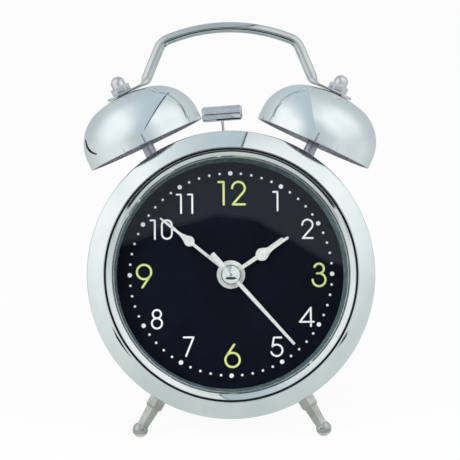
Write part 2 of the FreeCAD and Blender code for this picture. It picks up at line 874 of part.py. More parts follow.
# Bells and carrying handle
def make_bells():
    """Two spun bells, each on a post, clamped by a stud between a cap nut and an inner nut."""
    shoulder = ("((bell_crown ^ 2 - bell_mouth ^ 2 - (bell_skirt - bell_height + bell_crown) ^ 2)"
                " / (2 * (bell_crown - bell_mouth)))")
    share = f"(bell_crown / (bell_crown - {shoulder}))"
    side = f"((bell_mouth - {shoulder}) * {share})"
    rise = f"(bell_height - bell_crown + (bell_skirt - bell_height + bell_crown) * {share})"
    inner_share = f"((bell_crown - bell_wall) / (bell_crown - {shoulder}))"
    inner_side = f"((bell_mouth - {shoulder}) * {inner_share})"
    inner_rise = (f"(bell_height - bell_crown + (bell_skirt - bell_height + bell_crown)"
                  f" * {inner_share})")
    bore = "(stud_radius + stud_gap)"
    crown = f"(bell_height - bell_crown + sqrt(bell_crown ^ 2 - {bore} ^ 2))"
    crown_inside = f"(bell_height - bell_crown + sqrt((bell_crown - bell_wall) ^ 2 - {bore} ^ 2))"
    profile = [
        ("bell_mouth - bell_wall", "0"),
        ("bell_mouth", "0"),
        ("bell_mouth", "bell_skirt"),
        (side, rise, shoulder),
        (bore, crown, "bell_crown"),
        (bore, crown_inside),
        (inner_side, inner_rise, "-(bell_crown - bell_wall)"),
        ("bell_mouth - bell_wall", "bell_skirt", f"-({shoulder} - bell_wall)"),
    ]
    post_top = ("bell_height - bell_crown"
                " + sqrt((bell_crown - bell_wall) ^ 2 - post_radius ^ 2)")
    posts, studs, caps, nuts, washers = [], [], [], [], []
    nut_corner = "nut_flats / sqrt(3)"
    base = num("bell_height + strip_thickness")
    for word, sign in SIDES.items():
        place = bell_place(sign)
        keep(revolved(f"bell_{word}_body", "XZ_Plane", profile, place), f"bell_{word}")
        post = cylinder(f"post_{word}_bar", "post_radius", "bell_height * 2",
                        raised(place, num(post_top) - num("bell_height * 2")))
        bore_tool = cylinder(f"post_{word}_bore", bore, "bell_height * 3",
                             raised(place, -num("bell_height * 2")))
        drum = cylinder(f"post_{word}_drum", "case_radius", "case_rear", along_y(0, 0, 0))
        posts.append(cut(f"post_{word}_cut", post, [bore_tool, drum]))
        stud_low = WASHER_LOW + num("inner_nut_height") + STUD_PAST_NUT
        studs.append(cylinder(f"stud_{word}", "stud_radius",
                              f"{stud_low} + bell_height + strip_thickness + {CAP_BORE}",
                              raised(place, -stud_low)))
        caps.append(cap_nut(word, nut_corner, raised(place, base)))
        washer = cylinder(f"washer_{word}_blank", "washer_radius", "washer_radius",
                          raised(place, -WASHER_LOW))
        inside = cylinder(f"washer_{word}_drum", CASE_INSIDE, "case_rear", along_y(0, 0, 0))
        shape = common(f"washer_{word}_saddle", [washer, inside])
        hole = cylinder(f"washer_{word}_bore", bore, "bell_height", raised(place, -num("bell_height")))
        washers.append(cut(f"washer_{word}_cut", shape, [hole]))
        nuts.append(inner_nut(f"bell_nut_{word}",
                              raised(place, -WASHER_LOW - num("inner_nut_height"))))
    keep(group("posts", posts), "bell_posts")
    keep(group("studs", studs), "bell_studs")
    keep(group("caps", caps), "cap_nuts")
    keep(group("washers", washers), "saddle_washers")
    return nuts


def inner_nut(name, place):
    """A plain hexagon nut inside the drum."""
    nut = hexagon(f"{name}_hex", "inner_nut_flats / sqrt(3)", "inner_nut_height", place)
    thread = cylinder(f"{name}_thread", "stud_radius", "inner_nut_height", place)
    return cut(name, nut, [thread])


CAP_BORE = "(nut_height + 2)"


def cap_nut(word, corner, place):
    """A hexagon with a domed top, bored for the stud."""
    low, high, overlap = 0.35, 0.45, 0.1
    base = hexagon(f"cap_nut_{word}_hex", corner, "nut_height", place)
    corners = revolved(f"cap_nut_{word}_cone", "XZ_Plane", [
        ("0", "0"),
        (f"{corner} - {low}", "0"),
        (corner, f"{low}"),
        (corner, f"nut_height - {high}"),
        (f"{corner} - {high} * 1.8", "nut_height"),
        ("0", "nut_height"),
    ], place)
    dome = revolved(f"cap_nut_{word}_dome", "XZ_Plane", [
        ("0", f"nut_height - {overlap}"),
        ("dome_radius", f"nut_height - {overlap}"),
        ("dome_radius", "dome_top - dome_radius"),
        ("0", "dome_top", "dome_radius"),
    ], place)
    whole = fuse(f"cap_nut_{word}", [common(f"cap_nut_{word}_base", [base, corners]), dome])
    thread = cylinder(f"cap_nut_{word}_thread", "stud_radius", CAP_BORE, place)
    return cut(f"cap_nut_{word}_cut", whole, [thread])


def handle_path():
    """Points of the handle's right half: crown, corner, leg, and the bend onto the bell."""
    radius, corner = num("handle_crown"), num("handle_corner")
    lean, tilt = math.radians(num("handle_leg_lean")), math.radians(num("bell_tilt"))
    centre = Vector(0, num("handle_top") - radius, 0)
    down = Vector(math.sin(lean), -math.cos(lean), 0)
    inward = Vector(-math.cos(lean), -math.sin(lean), 0)
    across = Vector(math.cos(tilt), -math.sin(tilt), 0)
    up = Vector(math.sin(tilt), math.cos(tilt), 0)
    crown = Vector(num("bell_side"), num("bell_up"), 0)
    crown += up * num("bell_height + strip_thickness / 2")
    knee = crown - across * num("strip_inner")
    start = knee + inward * corner - centre
    reach = radius - corner
    lead = start.dot(down)
    back = lead + math.sqrt(lead ** 2 - start.dot(start) + reach ** 2)
    hub = centre + start - down * back
    touch_crown = centre + (hub - centre).normalize() * radius
    touch_leg = hub - inward * corner
    bend = num("handle_bend")
    turn = math.pi / 2 - tilt - lean
    trim = bend * math.tan(turn / 2)
    leg_end = knee - down * trim
    bend_hub = leg_end - inward * bend
    return hub, touch_crown, touch_leg, leg_end, bend_hub, turn, trim


def upright(point, depth):
    """A point of the dial's plane, moved to a depth."""
    return Vector(point.x, depth, point.y)


def flattening(side, hub, leg_end, turn, depth):
    """The bend at a leg's foot, where the round rod is pressed into a flat strip."""
    sections = []
    inset = 0.04
    rod_radius, half = num("handle_rod") - inset, num("strip_width") * 0.48
    thin = num("strip_thickness") * 0.46
    spoke = leg_end - hub
    for share in (0, 0.25, 0.5, 0.75, 1):
        ease = share * share * (3 - 2 * share)
        arm = Rotation(Z_AXIS, math.degrees(turn * share)).multVec(spoke)
        point, normal = hub + arm, Vector(arm).normalize()
        minor = rod_radius + (thin - rod_radius) * ease
        major = rod_radius + (half - rod_radius) * ease
        at = Vector(point.x * side, depth, point.y)
        out = Vector(normal.x * side, 0, normal.y)
        ring = Part.Ellipse(at + Y_AXIS * (major + inset / 4), at + out * minor, at)
        sections.append(Part.Wire(ring.toShape()))
    return Part.makeLoft(sections, True, False)


def make_handle():
    """A rod bent over the top, its two ends flattened and drilled for the studs."""
    hub, touch_crown, touch_leg, leg_end, bend_hub, turn, trim = handle_path()
    depth, radius = num("bell_depth"), num("handle_rod")
    top = Vector(0, depth, num("handle_top"))
    half = [Part.Arc(upright(touch_crown, depth) - Vector(2 * touch_crown.x, 0, 0), top,
                     upright(touch_crown, depth)).toShape()]
    for side in SIDES.values():
        flip = Vector(side, 1, 1)
        crown_end, leg_top, foot, middle = [
            Vector(p.x * flip.x, depth, p.z) for p in (
                upright(touch_crown, depth), upright(touch_leg, depth), upright(leg_end, depth),
                upright(hub + ((touch_crown + touch_leg) / 2 - hub).normalize()
                        * num("handle_corner"), depth),
            )
        ]
        half.append(Part.Arc(crown_end, middle, leg_top).toShape())
        half.append(Part.LineSegment(leg_top, foot).toShape())
    path = Part.Wire(Part.__sortEdges__(half))
    start = path.OrderedVertexes[0].Point
    lean = math.radians(num("handle_leg_lean"))
    along = Vector(math.sin(lean) * math.copysign(1, start.x), 0, -math.cos(lean))
    circle = Part.Wire(Part.Circle(start, along, radius).toShape())
    rod_shape = path.makePipeShell([circle], True, False)
    shapes = [rod_shape]
    thickness, width = num("strip_thickness"), num("strip_width")
    bore = num("stud_radius + stud_gap")
    inner, outer = num("strip_inner"), num("strip_outer")
    for word, side in SIDES.items():
        shapes.append(flattening(side, bend_hub, leg_end, turn, depth))
        length = inner - trim + outer - width / 2 + 1
        bar = Part.makeBox(length, width, thickness, Vector(trim - inner - 1, -width / 2, 0))
        end = Part.makeCylinder(width / 2, thickness, Vector(outer - width / 2, 0, 0))
        strip = bar.fuse(end).removeSplitter()
        strip = strip.cut(Part.makeCylinder(bore, thickness))
        if side < 0:
            strip = strip.mirror(Vector(), X_AXIS)
        strip.Placement = raised(bell_place(side), num("bell_height")) * strip.Placement
        shapes.append(strip)
    keep(plain("handle_shape", joined(*shapes)), "handle")


# Feet
CORNER_FORWARD = 30


def make_feet():
    """Turned and faceted feet with a ball at the end, each held by a nut inside the drum."""
    nuts = []
    root = "(case_radius - 1)"
    nut_corner = num("inner_nut_flats / sqrt(3)")
    nut_low = math.sqrt(num(CASE_INSIDE) ** 2 - nut_corner ** 2) - num("inner_nut_height")
    for word, side in SIDES.items():
        place = foot_place(side)
        facets = place * turned(Z_AXIS, CORNER_FORWARD, Vector())
        collar = hexagon(f"foot_{word}_hex", "foot_collar", f"foot_collar_end - {root}",
                         raised(facets, num(root)))
        cone = revolved(f"foot_{word}_cone", "XZ_Plane", [
            ("0", root),
            ("foot_collar", root),
            ("foot_collar", "foot_collar_end - foot_chamfer"),
            ("foot_collar - foot_chamfer", "foot_collar_end"),
            ("0", "foot_collar_end"),
        ], place)
        drum = cylinder(f"foot_{word}_drum", "case_radius", "case_rear", along_y(0, 0, 0))
        collar = cut(f"foot_{word}_collar", common(f"foot_{word}_faces", [collar, cone]), [drum])
        leg = tapered_leg(f"foot_{word}_leg", facets)
        ball = doc.addObject("Part::Sphere", f"foot_{word}_ball")
        bind(ball, Radius="foot_ball")
        ball.Placement = raised(place, num("foot_ball_centre"))
        stud = cylinder(f"foot_{word}_stud", "stud_radius", "case_wall * 2 + inner_nut_height + 1",
                        raised(place, nut_low - STUD_PAST_NUT))
        whole = fuse(f"foot_{word}_whole", [collar, leg, ball, stud])
        flat = ground_block(f"foot_{word}_ground")
        keep(cut(f"foot_{word}_cut", whole, [flat]), f"foot_{word}")
        nuts.append(inner_nut(f"foot_nut_{word}", raised(place, nut_low)))
    return nuts


def tapered_leg(name, place):
    """A hexagon that narrows from the collar to the ball."""
    rings = []
    for height, size in (("foot_collar_end", "foot_leg_top"), ("foot_ball_centre", "foot_leg_bottom")):
        ring = doc.addObject("Part::RegularPolygon", f"{name}_{size}")
        ring.Polygon = 6
        bind(ring, Circumradius=size)
        ring.Placement = raised(place, num(height))
        rings.append(ring)
    leg = doc.addObject("Part::Loft", name)
    leg.Sections = rings
    leg.Solid = True
    leg.Ruled = True
    return leg


# Movement: where each arbor stands, across and up from the dial's centre
CENTRE = (0.0, 0.0)
TRAIN_MODULE = 0.2
FAST_MODULE = 0.17
MOTION_MODULE = 0.25
HOUR_MODULE = 0.3
ALARM_MODULE = 0.3
TEETH = {
    "rotor": 10, "fast_wheel": 60, "fast_pinion": 10, "seconds_wheel": 50, "seconds_pinion": 8,
    "third_wheel": 60, "third_pinion": 8, "centre_wheel": 64, "cannon": 15, "motion_wheel": 45,
    "motion_pinion": 10, "hour_wheel": 40, "set_pinion": 15, "alarm_wheel": 40,
    "alarm_pinion": 20, "crank_wheel": 36, "motor_pinion": 9,
}


def apart(a, b, module):
    """Distance between the arbors of two gears in mesh."""
    return (TEETH[a] + TEETH[b]) * module / 2


THIRD_APART = apart("third_pinion", "centre_wheel", TRAIN_MODULE)
THIRD_MODULE = 2 * THIRD_APART / (TEETH["seconds_pinion"] + TEETH["third_wheel"])
HOUR_APART = apart("cannon", "motion_wheel", MOTION_MODULE)
THIRD = beside(CENTRE, THIRD_APART, -60)
FAST = beside(CENTRE, apart("fast_pinion", "seconds_wheel", TRAIN_MODULE), 200)
ROTOR = beside(FAST, apart("rotor", "fast_wheel", FAST_MODULE), 220)
MOTION = beside(CENTRE, HOUR_APART, 170)
TIME_SET = beside(MOTION, apart("motion_wheel", "set_pinion", MOTION_MODULE), 150)
ALARM_SET = beside(CENTRE, apart("alarm_wheel", "alarm_pinion", ALARM_MODULE), 20)
SET_SHAFTS = {"time": TIME_SET, "alarm": ALARM_SET}
COIL_UP = -22.0
STATOR_END = 13.0
ROTOR_RADIUS = 2.6
KNOB_GROOVES = 18

# Depths of the wheels, front and rear
PIVOT_FRONT = num(CARRIER_REAR) + 0.5
ALARM_LEVEL = (19.5, 20.3)
HOUR_LEVEL = (20.6, 21.4)
MINUTE_LEVEL = (21.9, 22.7)
CENTRE_LEVEL = (23.1, 23.9)
THIRD_LEVEL = (24.4, 25.2)
BRIDGE_LEVEL = (25.5, 26.3)
SECONDS_LEVEL = (26.6, 27.2)
FAST_LEVEL = (27.6, 28.2)
STATOR_LEVEL = (28.9, 29.7)
MAGNET_LEVEL = (28.5, 30.6)
PIVOT_BRIDGE_FRONT = BRIDGE_LEVEL[0] + 0.2
PIVOT_BRIDGE_REAR = BRIDGE_LEVEL[1] - 0.2
PIVOT_REAR = num("housing_rear") + 0.8
PIVOT_END = 0.1
SCREW_HEAD = "housing_screw * 1.8"
SCREW_HEAD_HEIGHT = 0.8
BEHIND_ALL = 40.0


def wider(level, by=0.1):
    """A pinion's depths, a little past the wheel it drives."""
    return level[0] - by, level[1] + by


def housing_screws():
    """Four corners of the movement."""
    inset = num("housing_wall + housing_post") - 0.2
    for x in (-num("housing_half_width") + inset, num("housing_half_width") - inset):
        for z in (-num("housing_bottom") + inset, num("housing_top") - inset):
            yield x, z


def make_housing():
    """Moulded box, its rear cover, the bridge between them and their screws."""
    outer = box("housing_outer", ("-housing_half_width", CARRIER_REAR, "-housing_bottom"),
                ("housing_half_width", "housing_rear", "housing_top"))
    inner = box("housing_inner",
                ("housing_wall - housing_half_width", HOUSING_INSIDE,
                 "housing_wall - housing_bottom"),
                ("housing_half_width - housing_wall", "housing_rear + 1",
                 "housing_top - housing_wall"))
    shell = cut("housing_shell", outer, [inner])
    gap = num("running_gap")
    solids, holes = [shell], []
    depth = f"housing_rear - {CARRIER_REAR}"
    screws = []
    for i, (x, z) in enumerate(housing_screws()):
        solids.append(cylinder(f"housing_post_{i}", "housing_post", depth,
                               along_y(x, num(CARRIER_REAR), z)))
        holes.append(cylinder(f"housing_post_hole_{i}", "housing_screw", "housing_rear",
                              along_y(x, num(CARRIER_REAR) - 1, z)))
        screws.append(pan_screw(f"housing_screw_{i}", x, z))
    solids.append(cylinder("bush", "bush_outer", f"{CARRIER_REAR} - bush_front + 0.2",
                           along_y(0, num("bush_front"), 0)))
    bore = ALARM_TUBE[1] + gap
    holes.append(cylinder("bush_bore", bore, "housing_rear", along_y(0, 0, 0)))
    for name, (at, radius) in {
        "third": (THIRD, "arbor"), "motion": (MOTION, "arbor"),
        "time_set": (TIME_SET, "set_shaft"), "alarm_set": (ALARM_SET, "set_shaft"),
    }.items():
        holes.append(cylinder(f"front_pivot_{name}", f"{radius} + running_gap", "housing_wall",
                              along_y(at[0], PIVOT_FRONT - PIVOT_END, at[1])))
    for i, side in enumerate(BRACKET_SCREWS):
        holes.append(cylinder(f"bracket_thread_{i}", "housing_screw", "housing_wall * 2",
                              Placement(Vector(side, BRACKET_SCREW_DEPTH,
                                               num("housing_top - housing_wall") - 1), Rotation())))
    keep(cut("housing_cut", fuse("housing_whole", solids), holes), "movement_housing")
    make_housing_cover()
    make_bridge()
    return screws


def pan_screw(name, x, z):
    """A screw from the movement's rear cover through to the carrier."""
    seat = num(HOUSING_BACK) - SCREW_HEAD_HEIGHT
    head = cylinder(name + "_head", SCREW_HEAD, SCREW_HEAD_HEIGHT, along_y(x, seat, z))
    shank = cylinder(name + "_shank", "housing_screw", seat - LONG_SCREW_FRONT,
                     along_y(x, LONG_SCREW_FRONT, z))
    return fuse(name, [head, shank])


def make_housing_cover():
    plate = box("cover_plate", ("-housing_half_width", "housing_rear", "-housing_bottom"),
                ("housing_half_width", HOUSING_BACK, "housing_top"))
    solids, holes = [plate], []
    for i, x in enumerate((-STATOR_END, STATOR_END)):
        solids.append(cylinder(f"stator_pillar_{i}", 1.3, f"housing_rear + 0.2 - {STATOR_LEVEL[1]}",
                               along_y(x, STATOR_LEVEL[1], COIL_UP)))
    for i, (x, z) in enumerate(housing_screws()):
        holes.append(cylinder(f"cover_screw_hole_{i}", "housing_screw", "housing_cover * 2",
                              along_y(x, num("housing_rear") - 0.5, z)))
        holes.append(cylinder(f"cover_screw_seat_{i}", SCREW_HEAD, SCREW_HEAD_HEIGHT,
                              along_y(x, num(HOUSING_BACK) - SCREW_HEAD_HEIGHT, z)))
    for name, (at, radius) in {
        "seconds": (CENTRE, "seconds_arbor"), "fast": (FAST, "arbor"), "rotor": (ROTOR, "arbor"),
    }.items():
        holes.append(cylinder(f"rear_pivot_{name}", f"{radius} + running_gap", "1",
                              along_y(at[0], num("housing_rear") - 0.1, at[1])))
    for name, at in SET_SHAFTS.items():
        holes.append(cylinder(f"cover_shaft_{name}", "set_shaft + running_gap", "housing_cover * 3",
                              along_y(at[0], num("housing_rear") - 1, at[1])))
    keep(cut("cover_plate_cut", fuse("cover_plate_whole", solids), holes), "movement_cover")


def make_bridge():
    """Plate across the middle of the movement that holds the inner pivots."""
    low, high = BRIDGE_LEVEL
    down, up = 13, 9
    plate = box("bridge_plate", ("housing_wall - housing_half_width", low, -down),
                ("housing_half_width - housing_wall", high, up))
    holes = []
    for name, (at, radius) in {
        "seconds": (CENTRE, "seconds_arbor"), "third": (THIRD, "arbor"), "fast": (FAST, "arbor"),
        "motion": (MOTION, "arbor"), "rotor": (ROTOR, "arbor"),
        "time": (TIME_SET, "set_shaft"), "alarm": (ALARM_SET, "set_shaft"),
    }.items():
        holes.append(cylinder(f"bridge_hole_{name}", f"{radius} + running_gap", high - low + 2,
                              along_y(at[0], low - 1, at[1])))
    keep(cut("bridge_cut", plate, holes), "train_bridge")


def phased(name, teeth, at, other_at, phase):
    """Phase of a gear in mesh with one at another place."""
    return meshing(phase, TEETH[name], TEETH[teeth], bearing(at, other_at))


def make_train():
    """Going train from the stepping rotor to the hands, and the setting and alarm wheels."""
    arbor, gap = num("arbor"), num("running_gap")
    seconds = num("seconds_arbor")
    front = num("second_hand_front")
    keep(plain("seconds_wheel_set", joined(
        rod(seconds, front, PIVOT_REAR),
        gear(TEETH["seconds_pinion"], THIRD_MODULE, 0, *wider(THIRD_LEVEL), CENTRE),
        gear(TEETH["seconds_wheel"], TRAIN_MODULE, 0, *SECONDS_LEVEL, CENTRE),
    )), "seconds_wheel")
    fast_pinion = phased("seconds_wheel", "fast_pinion", CENTRE, FAST, 0)
    keep(plain("fast_wheel_set", joined(
        rod(arbor, PIVOT_BRIDGE_FRONT, PIVOT_REAR, FAST),
        gear(TEETH["fast_pinion"], TRAIN_MODULE, fast_pinion, SECONDS_LEVEL[0] - 0.1,
             FAST_LEVEL[0], FAST),
        gear(TEETH["fast_wheel"], FAST_MODULE, 0, *FAST_LEVEL, FAST),
    )), "intermediate_wheel")
    rotor_phase = phased("fast_wheel", "rotor", FAST, ROTOR, 0)
    keep(plain("rotor_set", joined(
        rod(arbor, PIVOT_BRIDGE_FRONT, PIVOT_REAR, ROTOR),
        gear(TEETH["rotor"], FAST_MODULE, rotor_phase, *wider(FAST_LEVEL), ROTOR),
        rod(ROTOR_RADIUS, *MAGNET_LEVEL, ROTOR),
    )), "rotor")
    third_phase = phased("seconds_pinion", "third_wheel", CENTRE, THIRD, 0)
    keep(plain("third_wheel_set", joined(
        rod(arbor, PIVOT_FRONT, PIVOT_BRIDGE_REAR, THIRD),
        gear(TEETH["third_wheel"], THIRD_MODULE, third_phase, *THIRD_LEVEL, THIRD),
        gear(TEETH["third_pinion"], TRAIN_MODULE, 0, *wider(CENTRE_LEVEL), THIRD),
    )), "third_wheel")
    centre_phase = phased("third_pinion", "centre_wheel", THIRD, CENTRE, 0)
    centre = gear(TEETH["centre_wheel"], TRAIN_MODULE, centre_phase, *CENTRE_LEVEL, CENTRE)
    keep(plain("centre_wheel_set", centre.cut(rod(MINUTE_TUBE[1] + gap, 0, BEHIND_ALL))), "centre_wheel")
    minute = joined(
        rod(MINUTE_TUBE[1], num("minute_hand_front"), CENTRE_LEVEL[1] + 0.2),
        gear(TEETH["cannon"], MOTION_MODULE, 0, *wider(MINUTE_LEVEL), CENTRE),
    )
    keep(plain("minute_pipe_set", minute.cut(rod(MINUTE_TUBE[0], 0, BEHIND_ALL))), "minute_pipe")
    motion_phase = phased("cannon", "motion_wheel", CENTRE, MOTION, 0)
    keep(plain("motion_wheel_set", joined(
        rod(arbor, PIVOT_FRONT, PIVOT_BRIDGE_REAR, MOTION),
        gear(TEETH["motion_wheel"], MOTION_MODULE, motion_phase, *MINUTE_LEVEL, MOTION),
        gear(TEETH["motion_pinion"], HOUR_MODULE, 0, *wider(HOUR_LEVEL), MOTION),
    )), "motion_wheel")
    hour_phase = phased("motion_pinion", "hour_wheel", MOTION, CENTRE, 0)
    hour = joined(
        rod(HOUR_TUBE[1], num("hour_hand_front"), HOUR_LEVEL[1]),
        gear(TEETH["hour_wheel"], HOUR_MODULE, hour_phase, *HOUR_LEVEL, CENTRE),
    )
    keep(plain("hour_wheel_set", hour.cut(rod(HOUR_TUBE[0], 0, BEHIND_ALL))), "hour_wheel")
    alarm = joined(
        rod(ALARM_TUBE[1], num("alarm_hand_front"), ALARM_LEVEL[1]),
        gear(TEETH["alarm_wheel"], ALARM_MODULE, 0, *ALARM_LEVEL, CENTRE),
    )
    keep(plain("alarm_wheel_set", alarm.cut(rod(ALARM_TUBE[0], 0, BEHIND_ALL))), "alarm_wheel")
    set_phase = phased("motion_wheel", "set_pinion", MOTION, TIME_SET, motion_phase)
    make_setting("time", TIME_SET, "set_pinion", MOTION_MODULE, set_phase, MINUTE_LEVEL)
    alarm_phase = phased("alarm_wheel", "alarm_pinion", CENTRE, ALARM_SET, 0)
    make_setting("alarm", ALARM_SET, "alarm_pinion", ALARM_MODULE, alarm_phase, ALARM_LEVEL)


def make_setting(word, at, pinion, module, phase, level):
    """A shaft with its pinion in the movement, and the knob on its rear end."""
    stand = num(COVER_REAR) + num("knob_stand_off")
    shaft_end = stand + num("knob_height") * 0.7
    radius = num("set_shaft")
    keep(plain(f"{word}_shaft_set", joined(
        rod(radius, PIVOT_FRONT, shaft_end, at),
        gear(TEETH[pinion], module, phase, *level, at),
    )), f"{word}_set_shaft")
    place = along_y(at[0], stand, at[1])
    profile = revolved(f"{word}_knob_body", "XZ_Plane", [
        ("set_shaft", "0"),
        ("knob_radius - 0.5", "0"),
        ("knob_radius", "0.5"),
        ("knob_radius", "knob_height - 0.8"),
        ("knob_radius - 0.8", "knob_height", "0.8"),
        ("0", "knob_height"),
        ("0", "knob_height * 0.7"),
        ("set_shaft", "knob_height * 0.7"),
    ], place)
    grooves = []
    for i in range(KNOB_GROOVES):
        x, z = beside((0, 0), num("knob_radius") + 0.35, i * 360 / KNOB_GROOVES)
        grooves.append(cylinder(f"{word}_knob_groove_{i}", 0.7, "knob_height",
                                place * Placement(Vector(x, z, 1.2), Rotation())))
    keep(cut(f"{word}_knob_cut", profile, grooves), f"{word}_set_knob")


def make_electrics():
    """Stator, coil, circuit board and its crystal."""
    low, high = STATOR_LEVEL
    leg, bar_up, bar_down = 3.0, 1.2, 2.8

    def block(left, bottom, right, top):
        return Part.makeBox(right - left, high - low, top - bottom, Vector(left, low, bottom))

    pad = rod(ROTOR_RADIUS + 2.0, low, high, ROTOR)
    bar = block(ROTOR[0], ROTOR[1] - bar_down, STATOR_END + leg / 2, ROTOR[1] + bar_up)
    legs = [
        block(x - leg / 2, COIL_UP - leg / 2, x + leg / 2, top)
        for x, top in ((-STATOR_END, ROTOR[1] - 1.0), (STATOR_END, ROTOR[1] + bar_up))
    ]
    core_half = 0.8
    core = block(-STATOR_END, COIL_UP - core_half, STATOR_END, COIL_UP + core_half)
    whole = joined(pad, bar, core, *legs).cut(rod(ROTOR_RADIUS + 0.4, low - 1, high + 1, ROTOR))
    keep(plain("stator_plate", whole), "stator")
    length, flange, winding, rim = 22.0, 2.15, 1.85, 0.8
    start = Vector(-length / 2, (low + high) / 2, COIL_UP)
    bobbin = joined(
        Part.makeCylinder(winding, length, start, X_AXIS),
        Part.makeCylinder(flange, rim, start, X_AXIS),
        Part.makeCylinder(flange, rim, start + X_AXIS * (length - rim), X_AXIS),
    )
    keep(plain("coil_bobbin", bobbin.cut(core)), "coil")
    board, board_half, board_low, board_high = 0.8, 19.5, -28, -15
    keep(box("board", (-board_half, HOUSING_INSIDE, board_low),
             (board_half, f"{HOUSING_INSIDE} + {board}", board_high)), "circuit_board")
    can_radius, can_length, can_side, can_up = 1.0, 6.0, 8, -24
    at = Vector(can_side, num(HOUSING_INSIDE) + board + can_radius, can_up)
    keep(cylinder("crystal_can", can_radius, can_length, turned(Y_AXIS, 90, at)), "quartz_crystal")


# Striker
BRACKET_SCREWS = (-9.5, 9.5)
BRACKET_SCREW_DEPTH = 23.0
CRANK = (0.0, num("hammer_pivot + fork_height"))
MOTOR = beside(CRANK, apart("crank_wheel", "motor_pinion", num("crank_module")), 0)
CRANK_LEVEL = (27.0, 28.4)
BITE = 0.2
MOTOR_BORE = 3.3


def hammer_place():
    """Local Z runs up the hammer from its pivot, leaning to the left bell."""
    lean = math.degrees(math.asin(num("hammer_offset / hammer_reach")))
    return turned(Y_AXIS, -lean, Vector(0, num("bell_depth"), num("hammer_pivot")))


def make_hammer():
    """Lever with a fork for the crank pin, a wire, and the head that strikes the bells."""
    place = hammer_place()
    half = num("lever_thickness") / 2
    pivot, crank = num("pivot_radius + running_gap"), num("fork_height")
    side, rise, wall = num("fork_gap_side"), num("fork_gap_up"), num("fork_wall")

    def block(left, bottom, right, top):
        return Part.makeBox(right - left, 2 * half, top - bottom, Vector(left, -half, bottom))

    width = num("lever_width") / 2
    lever = joined(
        Part.makeCylinder(num("lever_boss"), 2 * half, Vector(0, -half, 0), Y_AXIS),
        block(-width, 0, width, crank - rise),
        block(-side - wall, crank - rise - wall, side + wall, crank + rise + wall),
        block(-width, crank + rise, width, num("lever_top")),
    )
    lever = lever.cut(block(-side, crank - rise, side, crank + rise))
    lever = lever.cut(Part.makeCylinder(pivot, 4 * half, Vector(0, -2 * half, 0), Y_AXIS))
    wire_low = crank + rise + wall + 1
    wire_radius = num("hammer_wire")
    seat = Part.makeCylinder(wire_radius, num("hammer_reach"), Vector(0, 0, wire_low))
    keep(plain("lever_plate", lever.cut(seat), place), "hammer_lever")
    radius = num("hammer_radius")
    wire_top = num("hammer_reach") + radius * 0.5
    wire = Part.makeCylinder(wire_radius, wire_top - wire_low, Vector(0, 0, wire_low))
    keep(plain("wire", wire, place), "hammer_rod")
    length, chamfer = num("hammer_half_length"), num("hammer_chamfer")
    profile = [Vector(-length, 0, 0), Vector(-length, 0, radius - chamfer),
               Vector(chamfer - length, 0, radius), Vector(length - chamfer, 0, radius),
               Vector(length, 0, radius - chamfer), Vector(length, 0, 0)]
    head = Part.Face(Part.makePolygon(profile + profile[:1])).revolve(Vector(), X_AXIS, 360)
    head = head.cut(Part.makeCylinder(wire_radius, radius * 1.5, Vector(0, 0, -radius)))
    keep(plain("head", head, raised(place, num("hammer_reach"))), "hammer_head")


